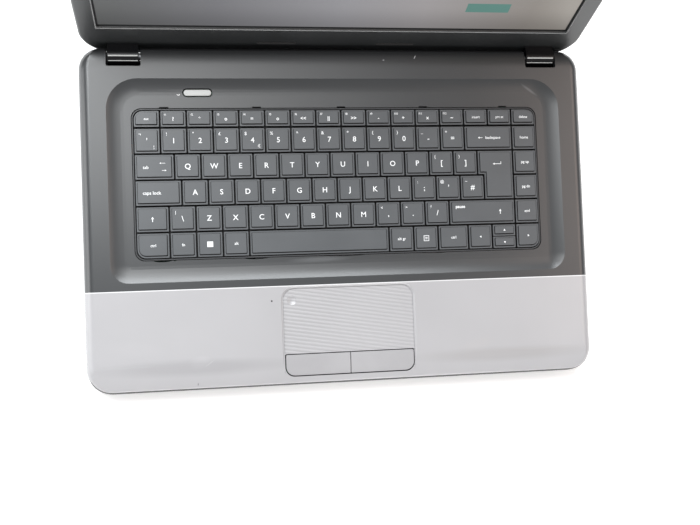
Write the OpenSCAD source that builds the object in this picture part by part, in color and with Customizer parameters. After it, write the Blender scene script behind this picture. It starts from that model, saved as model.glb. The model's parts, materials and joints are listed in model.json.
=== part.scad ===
// A 15.6 inch clamshell laptop with its lid open, standing on its rubber feet.
// X runs to the right, Y towards the hinges and Z up. Every piece is drawn with the front edge of
// the base at Y = 0, lid pieces as if the lid were shut, and place_base or place_lid moves it.

/* [Base] */
// Width of the base
base_w = 374; // [320:1:450]
// Depth of the base from its front edge to the back of the hinge roll
base_d = 246; // [235:1:296]
// Height of the bottom case from its underside to the parting line
bottom_h = 14; // [13.6:0.2:17]
// Height of the top cover from the parting line to the palm rest
cover_h = 9; // [8.6:0.2:11]
// Thickness of the plastic walls
wall = 2; // [1.6:0.1:2.4]
// Thickness of the bottom case's floor
floor_t = 2.4; // [2:0.1:2.9]
// Corner radius at the front
front_r = 18; // [10:1:22]
// Corner radius at the rear
rear_r = 16; // [10:1:20]
// Height of the rubber feet
foot_h = 3; // [2:0.5:4]
// Clearance between fitted pieces
fit_gap = 0.3; // [0.2:0.05:0.4]

/* [Lid] */
// Angle between the shut lid and the open lid
lid_open = 109; // [60:1:125]
// Width of the lid
lid_w = 369; // [318:1:446]
// Thickness of the lid
lid_t = 9.5; // [8.5:0.5:12]
// Thickness of the screen bezel
bezel_t = 2.2; // [1.8:0.1:2.6]
// Gap between the bezel and the palm rest when shut
shut_gap = 1; // [0.9:0.1:1.2]
// Radius of the hinge roll at the back of the top cover
roll_r = 6; // [5.4:0.1:6]
// Width of the lit screen
screen_w = 342; // [290:1:350]
// Height of the lit screen
screen_h = 194.5; // [160:0.5:198]
// Distance from the hinge axis to the lower edge of the screen
screen_up = 24; // [24:0.1:34]

/* [Keyboard] */
// Distance between key centres
pitch = 18.67; // [15.5:0.01:19]
// Gap between the skirts of two keys
key_gap = 1.27; // [0.9:0.01:1.6]
// Depth of the short keys in the function row
short_key = 11.4; // [10.6:0.1:12]
// Travel of a key
key_travel = 2; // [1.4:0.1:2]
// Middle of the keyboard, sideways
keys_x = -0.4; // [-3:0.1:3]
// Distance from the front edge to the middle of the number row
number_row_y = 178.4; // [178:0.1:180]
// Margin between the outer keys and the keyboard opening
key_margin = 2; // [1.8:0.1:2.6]

/* [Deck] */
// Depth of the keyboard deck below the palm rest
deck_drop = 2.2; // [1.6:0.1:2.4]
// Distance of the deck's front edge from the front of the base
deck_front = 77.5; // [74:0.5:82]
// Distance of the deck's rear edge from the front of the base
deck_rear = 223; // [222:0.5:225]
// Distance of the deck's sides from the sides of the base
deck_side = 19; // [16:0.5:22]

/* [Touchpad and buttons] */
// Width of the two touchpad buttons together
pad_buttons_w = 94.2; // [80:0.2:98]
// Depth of the touchpad buttons
pad_buttons_d = 15.1; // [12:0.1:16]
// Distance of the touchpad buttons from the front edge
pad_buttons_y = 7.1; // [6.5:0.1:8]
// Width of the touch surface
pad_w = 94.6; // [80:0.2:98]
// Travel of the touchpad and power buttons
button_travel = 0.8; // [0.5:0.1:0.8]
// Length of the power button
power_w = 19.6; // [16:0.2:22]
// Width of the power button
power_d = 4.4; // [3.6:0.1:5]

/* [Hinges] */
// Distance of each hinge notch's middle from the middle of the base
hinge_x = 155.2; // [140:0.2:160]
// Width of a hinge notch
notch_w = 22.8; // [20:0.2:24]
// Radius of the hinge shaft
shaft_r = 2.5; // [2:0.1:2.8]
// Running clearance round the hinge shaft and the spindles
run_gap = 0.05; // [0.03:0.01:0.08]

/* [Drives and battery] */
// Width of the optical drive, along Y
drive_w = 127; // [125:0.5:129]
// Depth of the optical drive, along X
drive_l = 126; // [110:1:128]
// Height of the optical drive
drive_h = 9.8; // [9.5:0.1:10.2]
// Travel of the disc tray
tray_travel = 110; // [60:1:112]
// Radius of the disc well in the tray
disc_r = 60.5; // [60.3:0.1:61]
// Width of the battery pack
battery_w = 206; // [170:1:216]
// Depth of the battery pack
battery_d = 48.5; // [44:0.5:50]

/* [Hidden] */
$fn = 64;

// Heights of the base, from the surface that the feet stand on
case_z = foot_h;
floor_z = case_z + floor_t;
split_z = case_z + bottom_h;
top_z = split_z + cover_h;
deck_z = top_z - deck_drop;
skin = wall;

// Hinge axis and the rear of the base
hinge_y = base_d - roll_r;
hinge_z = top_z - roll_r;
rear_wall_y = hinge_y - 1;
shelf_y = hinge_y + 4.5;
shelf_t = 1.6;

// Lid, drawn shut
bezel_z = top_z + shut_gap;
lid_back_z = bezel_z + lid_t;
lid_rear = base_d;
lid_front = 0.3;
lid_rear_r = 24;
lid_wall = 1.8;
screen_y = hinge_y - screen_up - screen_h / 2;
glass_t = 0.7;
panel_z = bezel_z + bezel_t + glass_t;
panel_t = lid_t - bezel_t - glass_t - lid_wall - fit_gap;
panel_w = screen_w + 14.5;
panel_front = screen_y - screen_h / 2 - 6;
panel_rear = screen_y + screen_h / 2 + 9.7;

// Middle of the whole open laptop along Y, which becomes Y = 0
lid_reach = hinge_y - lid_front;
back_reach = lid_back_z - hinge_z;
far_y = hinge_y - lid_reach * cos(lid_open) + back_reach * sin(lid_open);
mid_y = far_y / 2;

// Keyboard: heights from the tray's ledge upwards
ledge_t = 1.2;
plate_t = 0.8;
membrane_t = 0.3;
cap_top_z = top_z - 0.6;
cap_step = 1.4;
cap_wall = 2.2;
skirt_z = cap_top_z - 3.4;
roof_t = 1;
membrane_z = skirt_z - key_travel - 0.5 - membrane_t;
plate_z = membrane_z - plate_t;
ledge_z = plate_z - ledge_t;
scissor_top = skirt_z + fit_gap;
scissor_gap = 0.3;
columns = 15;
first_x = keys_x - columns * pitch / 2;
keys_half_w = (columns * pitch + pitch - key_gap) / 2;
short_row_y = number_row_y + 0.85 * pitch;
keys_front = number_row_y - 4.5 * pitch + key_gap / 2;
keys_rear = short_row_y + short_key / 2;
open_x0 = keys_x - keys_half_w - key_margin;
open_x1 = keys_x + keys_half_w + key_margin;
open_y0 = keys_front - key_margin;
open_y1 = keys_rear + key_margin;
frame_t = 0.9;
clip_places = [-128, -62, 0, 62, 124];

// Key rows: the middle of each key in key widths from the first column, and its width
function single(from, to) = [for (i = [from:to]) [i, 1]];
function_row = single(0, 15);
number_row = concat(single(0, 12), [[13.5, 2], [15, 1]]);
upper_row = concat([[0.25, 1.5]], [for (i = [0:11]) [1.5 + i, 1]], [[15, 1]]);
home_row = concat([[0.375, 1.75]], [for (i = [0:11]) [1.75 + i, 1]], [[15, 1]]);
lower_row = concat([[0.125, 1.25]], [for (i = [0:10]) [1.25 + i, 1]], [[13.125, 2.75], [15, 1]]);
bottom_row = concat([[0.125, 1.25]], single(1.25, 3.25), [[9.75, 1], [10.75, 1], [11.875, 1.25]]);
space_key = [6.5, 5.5];
side_arrows = [[13, 1], [15, 1]];
stacked_arrow = [14, 1];
half_key = (pitch - key_gap) / 2 - 0.3;

// Pieces inside the base
board_z = case_z + 6.2;
board_t = 1.6;
board_top = board_z + board_t;
board_left = -base_w / 2 + 15;
socket_face = base_w / 2 - fit_gap;
socket_l = socket_face + board_left;
rail_y = 122;
fan_x = board_left + 31;
fan_y = 195;
fan_size = [56, 50];
fan_top = floor_z + 7.2;
pin_r = 1.5;
rotor_r = 20;
cpu_at = [-82, 148];
disc_drive_y = 104.5;
drive_x1 = base_w / 2 - 3;
drive_x0 = drive_x1 - drive_l;
drive_skin = 0.8;
face_t = 2.4;
disc_drop = 2.8;
hub_r = 7.5;
drive_size = [100.2, 69.9, 9.5];
drive_at = [-60, 46];
battery_front = rear_wall_y - 0.5 - battery_d;
latch_y = battery_front - 9;
hatch = [-70, 40, 50, latch_y - 3];
hatch_t = 1.6;
hatch_ledge = 6;
battery_top = ledge_z - 0.4;
tower_z = case_z + 8;
board_posts = [[-164, 62], [-76, 40], [-164, 120], [-100, 180], [130, 178], [130, 206]];
case_screw_places = [for (s = [-1, 1]) each [
    [s * (base_w / 2 - 15), front_r + 6],
    [s * 70, 13],
    [s * (battery_w / 2 + 13), hinge_y - 14]]];
hatch_screw_places = [[hatch[0] + 3.5, 112], [hatch[2] - 3.5, 112]];
foot_places = [[-150, 26], [150, 26], [0, 26], [-150, 214], [150, 214]];
foot_size = [26, 9];

// Sockets on the sides: middle along Y, outer width, bottom, outer height, inner width, inner height
left_usb = [[69, 13.2], [87, 13.2]];
usb_h = 6.2;
usb_hole = [12.4, 5.2];
right_usb_y = 181;
display_y = 105;
display_size = [16, 6.6];
display_hole = [14.6, 5];
network_y = 124;
network_size = [15.6, 11];
network_hole = [12, 8.4];
video_y = 151;
video_size = [30, 10.6];
audio_places = [42, 54];
audio_size = 8.4;
audio_r = 1.8;
audio_z = board_top + 1.8;
inlet_y = 199;
inlet_size = 10.8;
inlet_r = 3.8;
inlet_z = floor_z + 5.5;
lock_y = 217;
low_socket_z = floor_z + 0.2;
card_x = -136;
card_size = [30, 36, 4.4];
card_z = board_z - 0.6;

// ---------------------------------------------------------------- helpers

module place_base() {
    translate([0, -mid_y, 0]) children();
}

module place_lid() {
    translate([0, hinge_y - mid_y, hinge_z]) rotate([-lid_open, 0, 0])
        translate([0, -hinge_y, -hinge_z]) children();
}

// A box from one corner to the opposite one
module block(low, high) {
    translate(low) cube(high - low);
}

// A slab with rounded corners, r0 at its front and r1 at its rear
module slab(x0, x1, y0, y1, r0, r1, z0, z1) {
    translate([0, 0, z0]) linear_extrude(z1 - z0) {
        translate([x0 + r0, y0]) square([x1 - x0 - 2 * r0, r0 + 1]);
        translate([x0, y0 + r0]) square([x1 - x0, y1 - y0 - r0 - r1]);
        translate([x0 + r1, y1 - r1 - 1]) square([x1 - x0 - 2 * r1, r1 + 1]);
        for (x = [x0 + r0, x1 - r0]) translate([x, y0 + r0]) circle(r0);
        for (x = [x0 + r1, x1 - r1]) translate([x, y1 - r1]) circle(r1);
    }
}

// The outline of the base, drawn in by inset, from z0 to z1
module base_slab(inset, rear, z0, z1) {
    slab(-base_w / 2 + inset, base_w / 2 - inset, inset, rear, front_r - inset, rear_r - inset, z0, z1);
}

module lid_slab(inset, z0, z1) {
    slab(-lid_w / 2 + inset, lid_w / 2 - inset, lid_front + inset, lid_rear - inset,
        front_r - inset, lid_rear_r - inset, z0, z1);
}

// A rod along X
module rod_x(r, x0, x1, y, z) {
    translate([x0, y, z]) rotate([0, 90, 0]) cylinder(r = r, h = x1 - x0);
}

// A rod standing up
module post(r, at, z0, z1) {
    translate([at[0], at[1], z0]) cylinder(r = r, h = z1 - z0);
}

function key_x(u) = first_x + u * pitch;
function row_y(n) = number_row_y - n * pitch;
function key_size(units) = units * pitch - key_gap;
function cavity_size(size) = let (s = min(size, pitch - key_gap)) s - 2 * min(cap_wall, s * 0.262);
function dome_r(depth) = max(0.25, min(3, cavity_size(depth) / 2 - 1.6));

// One keycap: a skirt, a raised top and the hollow underneath that drops over its scissor
module keycap(u, y, units, depth) {
    w = key_size(units);
    translate([key_x(u), y, skirt_z]) difference() {
        union() {
            translate([-w / 2, -depth / 2, 0]) cube([w, depth, 3.4 - cap_step]);
            translate([-w / 2 + 1, -depth / 2 + 1.2, 0]) cube([w - 2.4, depth - 2, 3.4]);
        }
        translate([-cavity_size(w) / 2, -cavity_size(depth) / 2, -1])
            cube([cavity_size(w), cavity_size(depth), 3.4 - roof_t + 1]);
    }
}

module key_row(keys, y, depth = pitch - key_gap) {
    for (k = keys) keycap(k[0], y, k[1], depth);
}

// The folded scissor frame that carries one key
module scissor(u, y, units, depth) {
    w = cavity_size(key_size(units)) - 2 * scissor_gap;
    d = cavity_size(depth) - 2 * scissor_gap;
    translate([key_x(u), y, membrane_z + membrane_t]) difference() {
        translate([-w / 2, -d / 2, 0]) cube([w, d, scissor_top - membrane_z - membrane_t]);
        translate([-w / 2 + 1, -d / 2 + 1, -1]) cube([w - 2, d - 2, 9]);
    }
}

// Every key as [column, y, units, depth], apart from the enter key
function all_keys() = let (full = pitch - key_gap) concat(
    [for (k = function_row) [k[0], short_row_y, k[1], short_key]],
    [for (k = number_row) [k[0], row_y(0), k[1], full]],
    [for (k = upper_row) [k[0], row_y(1), k[1], full]],
    [for (k = home_row) [k[0], row_y(2), k[1], full]],
    [for (k = lower_row) [k[0], row_y(3), k[1], full]],
    [for (k = concat(bottom_row, [space_key], side_arrows)) [k[0], row_y(4), k[1], full]],
    [for (s = [-1, 1]) [stacked_arrow[0], row_y(4) + s * (half_key + 0.6) / 2, 1, half_key]]);

// The enter key stands over its lower leg
enter_leg = [13.875, 1.25];

// A hollow socket shell in the left wall (side -1) or the right wall (side 1)
module socket(side, y, size, z, hole) {
    x_in = socket_face - socket_l;
    mirror([side < 0 ? 1 : 0, 0, 0]) difference() {
        block([x_in, y - size[0] / 2, z], [socket_face, y + size[0] / 2, z + size[1]]);
        block([x_in + 2, y - hole[0] / 2, z + (size[1] - hole[1]) / 2],
            [socket_face + 1, y + hole[0] / 2, z + (size[1] + hole[1]) / 2]);
    }
}

// The hole that a socket looks out of
module socket_window(side, y, size, z) {
    mirror([side < 0 ? 1 : 0, 0, 0])
        block([base_w / 2 - wall - 1, y - size[0] / 2 - fit_gap, z - 0.15],
            [base_w / 2 + 1, y + size[0] / 2 + fit_gap, z + size[1] + 0.15]);
}

// The space that a hinge knuckle turns in
module hinge_notch(grow, z0) {
    for (s = [-1, 1])
        block([s * hinge_x - notch_w / 2 - grow, hinge_y - roll_r - 1 - grow, z0],
            [s * hinge_x + notch_w / 2 + grow, base_d + 5, top_z + 5]);
}

// ---------------------------------------------------------------- base

module bottom_case() {
    notch_floor = hinge_z - roll_r - 1.6;
    color("#2b2b2e") place_base() difference() {
        union() {
            difference() {
                union() {
                    base_slab(0, rear_wall_y, case_z, split_z);
                    base_slab(0, shelf_y, split_z - shelf_t, split_z);
                }
                base_slab(wall, rear_wall_y - wall, floor_z, split_z + 1);
            }
            // walls of the battery bay and of the hinge pockets
            difference() {
                block([-battery_w / 2 - fit_gap - wall, battery_front - fit_gap - wall, floor_z - 0.2],
                    [battery_w / 2 + fit_gap + wall, rear_wall_y, battery_top]);
                block([-battery_w / 2 - fit_gap, battery_front - fit_gap, 0],
                    [battery_w / 2 + fit_gap, base_d, split_z + 1]);
            }
            intersection() {
                hinge_notch(wall, notch_floor - wall);
                base_slab(0, rear_wall_y, case_z, split_z);
            }
            for (p = case_screw_places) post(4, p, floor_z - 0.2, tower_z);
            for (p = hatch_screw_places) post(2.6, p, case_z + hatch_t, board_z - 1);
            for (p = board_posts) post(3, p, floor_z - 0.2, board_z);
            for (s = [-1, 1]) block([s * (hinge_x - 22) - 6, hinge_y - 18, floor_z - 0.2],
                [s * (hinge_x - 22) + 6, hinge_y - 12, hinge_z - 6]);
        }
        hinge_notch(0, notch_floor);
        block([-battery_w / 2 - fit_gap, battery_front - fit_gap, 0],
            [battery_w / 2 + fit_gap, base_d, split_z + 1]);
        // service hatch: its rebate and the hole inside it
        block([hatch[0] - fit_gap, hatch[1] - fit_gap, 0],
            [hatch[2] + fit_gap, hatch[3] + fit_gap, case_z + hatch_t]);
        difference() {
            block([hatch[0] + hatch_ledge, hatch[1] + hatch_ledge, 0],
                [hatch[2] - hatch_ledge, hatch[3] - hatch_ledge, floor_z + 0.1]);
            for (p = hatch_screw_places) post(2.6, p, 0, floor_z);
        }
        for (p = hatch_screw_places) post(1.1, p, 0, board_z - 2);
        // room under the hinge barrels
        for (s = [0, 1]) mirror([s, 0, 0]) rod_x(shaft_r + 1.5, hinge_x - notch_w / 2 - 17.4,
            hinge_x - notch_w / 2 - wall, hinge_y, hinge_z);
        for (p = case_screw_places) {
            post(3, p, 0, case_z + 1.8);
            post(1.4, p, 0, tower_z + 1);
        }
        // cooling: grille under the fan and slots in the left side
        for (i = [-4:4]) block([fan_x - 16, fan_y + i * 4 - 1, 0],
            [fan_x + 16, fan_y + i * 4 + 1, floor_z + 1]);
        for (i = [0:9]) block([-base_w / 2 - 1, 176 + i * 4, floor_z + 1.5],
            [-base_w / 2 + wall + 1, 178 + i * 4, floor_z + 7.5]);
        // windows for the sockets and the disc drive
        for (u = left_usb) socket_window(-1, u[0], [u[1], usb_h], low_socket_z + 1);
        socket_window(1, right_usb_y, [13.2, usb_h], low_socket_z + 1);
        socket_window(-1, display_y, display_size, low_socket_z + 1);
        socket_window(-1, network_y, network_size, low_socket_z);
        socket_window(-1, video_y, video_size, low_socket_z);
        for (y = audio_places) socket_window(-1, y, [audio_size, audio_size], audio_z - audio_size / 2);
        socket_window(1, inlet_y, [inlet_size, inlet_size], inlet_z - inlet_size / 2);
        block([base_w / 2 - wall - 1, disc_drive_y - drive_w / 2 - 1.3, floor_z - 0.3],
            [base_w / 2 + 1, disc_drive_y + drive_w / 2 + 1.3, floor_z + drive_h + 0.6]);
        block([base_w / 2 - wall - 1, lock_y - 3.5, floor_z + 3],
            [base_w / 2 + 1, lock_y + 3.5, floor_z + 6]);
        block([card_x - card_size[0] / 2 - fit_gap, -1, card_z - 0.15],
            [card_x + card_size[0] / 2 + fit_gap, wall + 1, card_z + card_size[2] + 0.15]);
        // slots in front of the speakers, and the slot of the battery latch
        for (s = [-1, 1], i = [-4:4]) block([s * 100 + i * 4 - 1, 7, 0],
            [s * 100 + i * 4 + 1, 19, floor_z + 1]);
        block([-12, latch_y - 3, 0], [12, latch_y + 3, floor_z + 1]);
    }
}

// The outer and inner volumes of the top cover: a slab whose back edge is the hinge roll
module cover_volume(inset, z0, z1) {
    intersection() {
        base_slab(inset, base_d - inset, z0, z1);
        union() {
            block([-base_w, -1, z0 - 1], [base_w, hinge_y, top_z - inset]);
            rod_x(roll_r - inset, -base_w, base_w, hinge_y, hinge_z);
        }
    }
}

module top_cover() {
    color("#4a4b4f") place_base() difference() {
        union() {
            difference() {
                cover_volume(0, split_z, top_z);
                cover_volume(wall, split_z - 1, top_z + 1);
            }
            // dished keyboard deck and the tray that the keyboard drops into
            slab(-base_w / 2 + deck_side - skin, base_w / 2 - deck_side + skin, deck_front - skin,
                deck_rear + skin, 12 + skin, 19 + skin, deck_z - skin, top_z - skin);
            block([open_x0 - wall, open_y0 - wall, ledge_z], [open_x1 + wall, open_y1 + wall, deck_z - 0.5]);
            // walls of the hinge pockets
            intersection() {
                hinge_notch(wall, split_z);
                cover_volume(0, split_z, top_z);
            }
            for (p = case_screw_places) post(3.2, p, tower_z, top_z - wall + 0.2);
            for (x = [-56, 56]) block([x - 2.5, pad_buttons_y + 2, top_z - 5],
                [x + 2.5, pad_buttons_y + 12, top_z - 1]);
            for (s = [-1, 1]) block([power_x + s * (power_w / 2 + 5) - 2, power_y - 4, deck_z - 5],
                [power_x + s * (power_w / 2 + 5) + 2, power_y + 4, deck_z - 1]);
        }
        slab(-base_w / 2 + deck_side, base_w / 2 - deck_side, deck_front, deck_rear, 12, 19,
            deck_z, top_z + 1);
        block([open_x0, open_y0, plate_z], [open_x1, open_y1, top_z]);
        block([open_x0 + 6, open_y0 + 6, 0], [open_x1 - 6, open_y1 - 6, top_z]);
        hinge_notch(0, 0);
        for (s = [-1, 1]) rod_x(shaft_r + 0.6, s * hinge_x - notch_w / 2 - 4, s * hinge_x + notch_w / 2 + 4,
            hinge_y, hinge_z);
        for (p = case_screw_places) post(1.3, p, tower_z - 1, split_z);
        slab(-pad_buttons_w / 2 - fit_gap, pad_buttons_w / 2 + fit_gap, pad_buttons_y - fit_gap,
            pad_buttons_y + pad_buttons_d + fit_gap, 6.5, 1, top_z - wall - 1, top_z + 1);
        slab(power_x - power_w / 2 - 0.3, power_x + power_w / 2 + 0.3, power_y - power_d / 2 - 0.3,
            power_y + power_d / 2 + 0.3, power_d / 2, power_d / 2, deck_z - skin - 1, top_z);
        for (x = clip_places) block([x - 3.3, open_y1 + 0.4, deck_z - 1.5], [x + 3.3, open_y1 + 1.7, top_z]);
        post(0.5, [-56.1, 61.5], top_z - 3, top_z + 1);
        // groove round the touch surface
        difference() {
            slab(-pad_w / 2 - 2, pad_w / 2 + 2, pad_buttons_y + pad_buttons_d + 1.6, deck_front - 6.2, 2, 5,
                top_z - 0.4, top_z + 1);
            slab(-pad_w / 2, pad_w / 2, 0, deck_front - 8.2, 2, 3.5, 0, top_z + 2);
        }
    }
}

module rubber_feet() {
    color("#161616") place_base() for (p = foot_places)
        slab(p[0] - foot_size[0] / 2, p[0] + foot_size[0] / 2, p[1] - foot_size[1] / 2,
            p[1] + foot_size[1] / 2, 4.4, 4.4, 0, case_z);
}

module case_screws() {
    color("#8a8c90") place_base() {
        for (p = case_screw_places) {
            post(2.75, p, case_z + 0.3, case_z + 1.8);
            post(1.25, p, case_z + 1.7, split_z - 1);
        }
        for (p = hatch_screw_places) {
            post(2.4, p, case_z + 0.1, case_z + 0.9);
            post(1, p, case_z + 0.8, board_z - 2.5);
        }
    }
}

module service_cover() {
    color("#2b2b2e") place_base() difference() {
        block([hatch[0], hatch[1], case_z], [hatch[2], hatch[3], case_z + hatch_t]);
        for (p = hatch_screw_places) {
            post(2.7, p, 0, case_z + 0.9);
            post(1.1, p, 0, case_z + 3);
        }
        for (i = [-3:3]) block([-30, 100 + i * 5, 0], [10, 102 + i * 5, case_z + 3]);
    }
}

module battery_pack() {
    color("#242427") place_base() difference() {
        union() {
            block([-battery_w / 2, battery_front, case_z], [battery_w / 2, rear_wall_y - 0.5, battery_top]);
            block([-battery_w / 2 + 26, max(open_y1 + wall, battery_front) + 1, battery_top - 1],
                [battery_w / 2 - 6, rear_wall_y - 3, top_z - wall - 3]);
        }
        block([-10, battery_front - 1, case_z + 4], [10, battery_front + 3, case_z + 7]);
    }
}

// The latch slides sideways in its slot, and its nose holds the battery pack
module battery_latch() {
    color("#2f3033") place_base() {
        block([-8, latch_y - 2.7, case_z + 0.2], [4, latch_y + 2.7, floor_z + 0.3]);
        block([-8, latch_y - 2.7, floor_z + 0.3], [2, latch_y + 5.5, floor_z + 1.5]);
    }
}

// ---------------------------------------------------------------- keyboard

module keyboard_plate() {
    color("#5c5e62") place_base() block([open_x0 + fit_gap, open_y0 + fit_gap, plate_z],
        [open_x1 - fit_gap, open_y1 - fit_gap, plate_z + plate_t]);
}

module keyboard_membrane() {
    color("#3a3f3a") place_base() {
        block([open_x0 + 2, open_y0 + 2, membrane_z], [open_x1 - 2, open_y1 - 2, membrane_z + membrane_t]);
        for (k = all_keys()) post(dome_r(k[3]), [key_x(k[0]), k[1]], membrane_z + 0.1, skirt_z);
        post(3, [key_x(enter_leg[0]), row_y(1.5)], membrane_z + 0.1, skirt_z);
    }
}

module key_scissors() {
    color("#c9c9c6") place_base() {
        for (k = all_keys()) scissor(k[0], k[1], k[2], k[3]);
        scissor(enter_leg[0], row_y(1.5), enter_leg[1], pitch - key_gap);
    }
}

module keyboard_frame() {
    color("#1b1b1d") place_base() difference() {
        block([open_x0 + fit_gap, open_y0 + fit_gap, plate_z + plate_t],
            [open_x1 - fit_gap, open_y1 - fit_gap, deck_z - 0.3]);
        block([open_x0 + fit_gap + frame_t, open_y0 + fit_gap + frame_t, 0],
            [open_x1 - fit_gap - frame_t, open_y1 - fit_gap - frame_t, top_z]);
    }
}

module keyboard_clips() {
    color("#101010") place_base() for (x = clip_places)
        block([x - 3, open_y1 + 0.6, deck_z - 1.5], [x + 3, open_y1 + 1.5, deck_z - 0.2]);
}

module keys_function_row() {
    color("#2a2b2e") place_base() key_row(function_row, short_row_y, short_key);
}

module keys_number_row() {
    color("#2a2b2e") place_base() key_row(number_row, row_y(0));
}

module keys_upper_row() {
    color("#2a2b2e") place_base() key_row(upper_row, row_y(1));
}

module keys_home_row() {
    color("#2a2b2e") place_base() key_row(home_row, row_y(2));
}

module keys_lower_row() {
    color("#2a2b2e") place_base() key_row(lower_row, row_y(3));
}

module keys_bottom_row() {
    color("#2a2b2e") place_base() key_row(bottom_row, row_y(4));
}

module space_bar() {
    color("#2a2b2e") place_base() key_row([space_key], row_y(4));
}

module enter_key() {
    depth = 2 * pitch - key_gap;
    leg = key_size(enter_leg[1]);
    head = key_size(1.5);
    right = key_x(enter_leg[0]) + leg / 2;
    hollow = cavity_size(pitch) + 0.4;
    color("#2a2b2e") place_base() difference() {
        union() {
            block([right - leg, row_y(1.5) - depth / 2, skirt_z],
                [right, row_y(1.5) + depth / 2, cap_top_z - cap_step]);
            block([right - head, row_y(1) - pitch / 2 + key_gap / 2, skirt_z],
                [right, row_y(1.5) + depth / 2, cap_top_z - cap_step]);
            block([right - leg + 1, row_y(1.5) - depth / 2 + 1.2, skirt_z],
                [right - 1.4, row_y(1.5) + depth / 2 - 0.8, cap_top_z]);
            block([right - head + 1, row_y(1) - pitch / 2 + key_gap / 2 + 1.2, skirt_z],
                [right - 1.4, row_y(1.5) + depth / 2 - 0.8, cap_top_z]);
        }
        translate([key_x(enter_leg[0]), row_y(1.5), cap_top_z - roof_t])
            block([-hollow / 2, -hollow / 2, -9], [hollow / 2, hollow / 2, 0]);
    }
}

module arrow_keys() {
    color("#2a2b2e") place_base() {
        key_row(side_arrows, row_y(4));
        for (s = [-1, 1]) keycap(stacked_arrow[0], row_y(4) + s * (half_key + 0.6) / 2, 1, half_key);
    }
}

// ---------------------------------------------------------------- buttons

power_x = -104;
power_y = 213;
switch_gap = button_travel + 0.1;
power_top = deck_z + 0.8;
power_low = deck_z - skin - 0.4;
pad_low = top_z - wall - 1.2;
pad_seam = 0.5;

module power_button() {
    color("#b9babd") place_base() slab(power_x - power_w / 2, power_x + power_w / 2, power_y - power_d / 2,
        power_y + power_d / 2, power_d / 2 - 0.01, power_d / 2 - 0.01, power_low, power_top);
}

module power_button_board() {
    color("#1f5a3a") place_base() {
        block([power_x - power_w / 2 - 8, power_y - 6, deck_z - 6.2],
            [power_x + power_w / 2 + 8, power_y + 6, deck_z - 5]);
        block([power_x - 3, power_y - 3, deck_z - 5.1], [power_x + 3, power_y + 3, power_low - switch_gap]);
    }
}

module touchpad_board() {
    color("#1f5a3a") place_base() block([-pad_w / 2 + 2, 28, top_z - wall - 1.2],
        [pad_w / 2 - 2, 66, top_z - wall]);
}

// One touchpad button: half of the rounded pair, cut at the seam
module pad_button(side) {
    intersection() {
        slab(-pad_buttons_w / 2, pad_buttons_w / 2, pad_buttons_y, pad_buttons_y + pad_buttons_d, 6.5, 1,
            pad_low, top_z);
        mirror([side < 0 ? 1 : 0, 0, 0])
            block([pad_seam / 2, 0, 0], [pad_buttons_w, pad_buttons_y + pad_buttons_d + 1, top_z + 1]);
    }
}

module touchpad_button_left() {
    color("#8b8a8e") place_base() pad_button(-1);
}

module touchpad_button_right() {
    color("#8b8a8e") place_base() pad_button(1);
}

module touchpad_button_board() {
    color("#1f5a3a") place_base() {
        block([-58, pad_buttons_y + 2, top_z - 6.2], [58, pad_buttons_y + 12, top_z - 5]);
        for (s = [-1, 1]) block([s * 24 - 3, pad_buttons_y + 4, top_z - 5.1],
            [s * 24 + 3, pad_buttons_y + 10, pad_low - switch_gap]);
    }
}

// ---------------------------------------------------------------- electronics

module mainboard() {
    left = board_left;
    color("#1c4f38") place_base() difference() {
        union() {
            translate([0, 0, board_z]) linear_extrude(board_t) polygon([
                [left, 36], [-70, 36], [-70, 122], [50, 122], [50, 183],
                [-108, 183], [-108, fan_y - fan_size[1] / 2 - 3], [left, fan_y - fan_size[1] / 2 - 3]]);
            // memory socket and wireless socket on the underside
            block([-54, 152, floor_z + 0.4], [22, 157, board_z + 0.1]);
            block([-50, 178, board_z - 2.4], [-16, 182, board_z + 0.1]);
        }
        for (p = [[-30, 140], [30, 170]]) post(1.2, p, 0, top_z);
    }
}

module side_board() {
    right = -board_left;
    color("#1c4f38") place_base() block([122, 172, board_z], [right, 210, board_top]);
}

module processor() {
    color("#3a3d40") place_base() block([cpu_at[0] - 17, cpu_at[1] - 17, board_top],
        [cpu_at[0] + 17, cpu_at[1] + 17, board_top + 2.2]);
}

module heat_sink() {
    z = board_top + 2.2;
    fin_y0 = fan_y - fan_size[1] / 2;
    fin_y1 = fan_y + fan_size[1] / 2;
    x0 = -base_w / 2 + wall + 1;
    x1 = fan_x - fan_size[0] / 2 - 1;
    color("#b08d6a") place_base() difference() {
        union() {
            block([cpu_at[0] - 22, cpu_at[1] - 20, z],
                [cpu_at[0] + 22, cpu_at[1] + 20, z + 1.6]);
            block([cpu_at[0] - 22, cpu_at[1] + 10, z], [cpu_at[0] - 10, fin_y0 + 8, z + 1.6]);
            block([x0 + 2, fin_y0 + 1, z], [cpu_at[0] - 10, fin_y0 + 8, z + 1.6]);
            block([x0, fin_y0, floor_z + 0.4], [x1, fin_y1, z + 0.1]);
        }
        for (i = [0:11]) block([x0 - 1, fin_y0 + 1.4 + i * 4, floor_z + 1.2],
            [x1 + 1, fin_y0 + 4.2 + i * 4, z - 1]);
    }
}

module fan_housing() {
    x0 = fan_x - fan_size[0] / 2;
    x1 = fan_x + fan_size[0] / 2;
    y0 = fan_y - fan_size[1] / 2;
    y1 = fan_y + fan_size[1] / 2;
    color("#2c2d30") place_base() {
        difference() {
            block([x0, y0, floor_z], [x1, y1, fan_top]);
            block([x0 - 1, y0 + 1, floor_z - 1], [x1 - 1, y1 - 1, fan_top - 1]);
        }
        post(pin_r, [fan_x, fan_y], floor_z + 0.6, fan_top - 0.5);
    }
}

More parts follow.
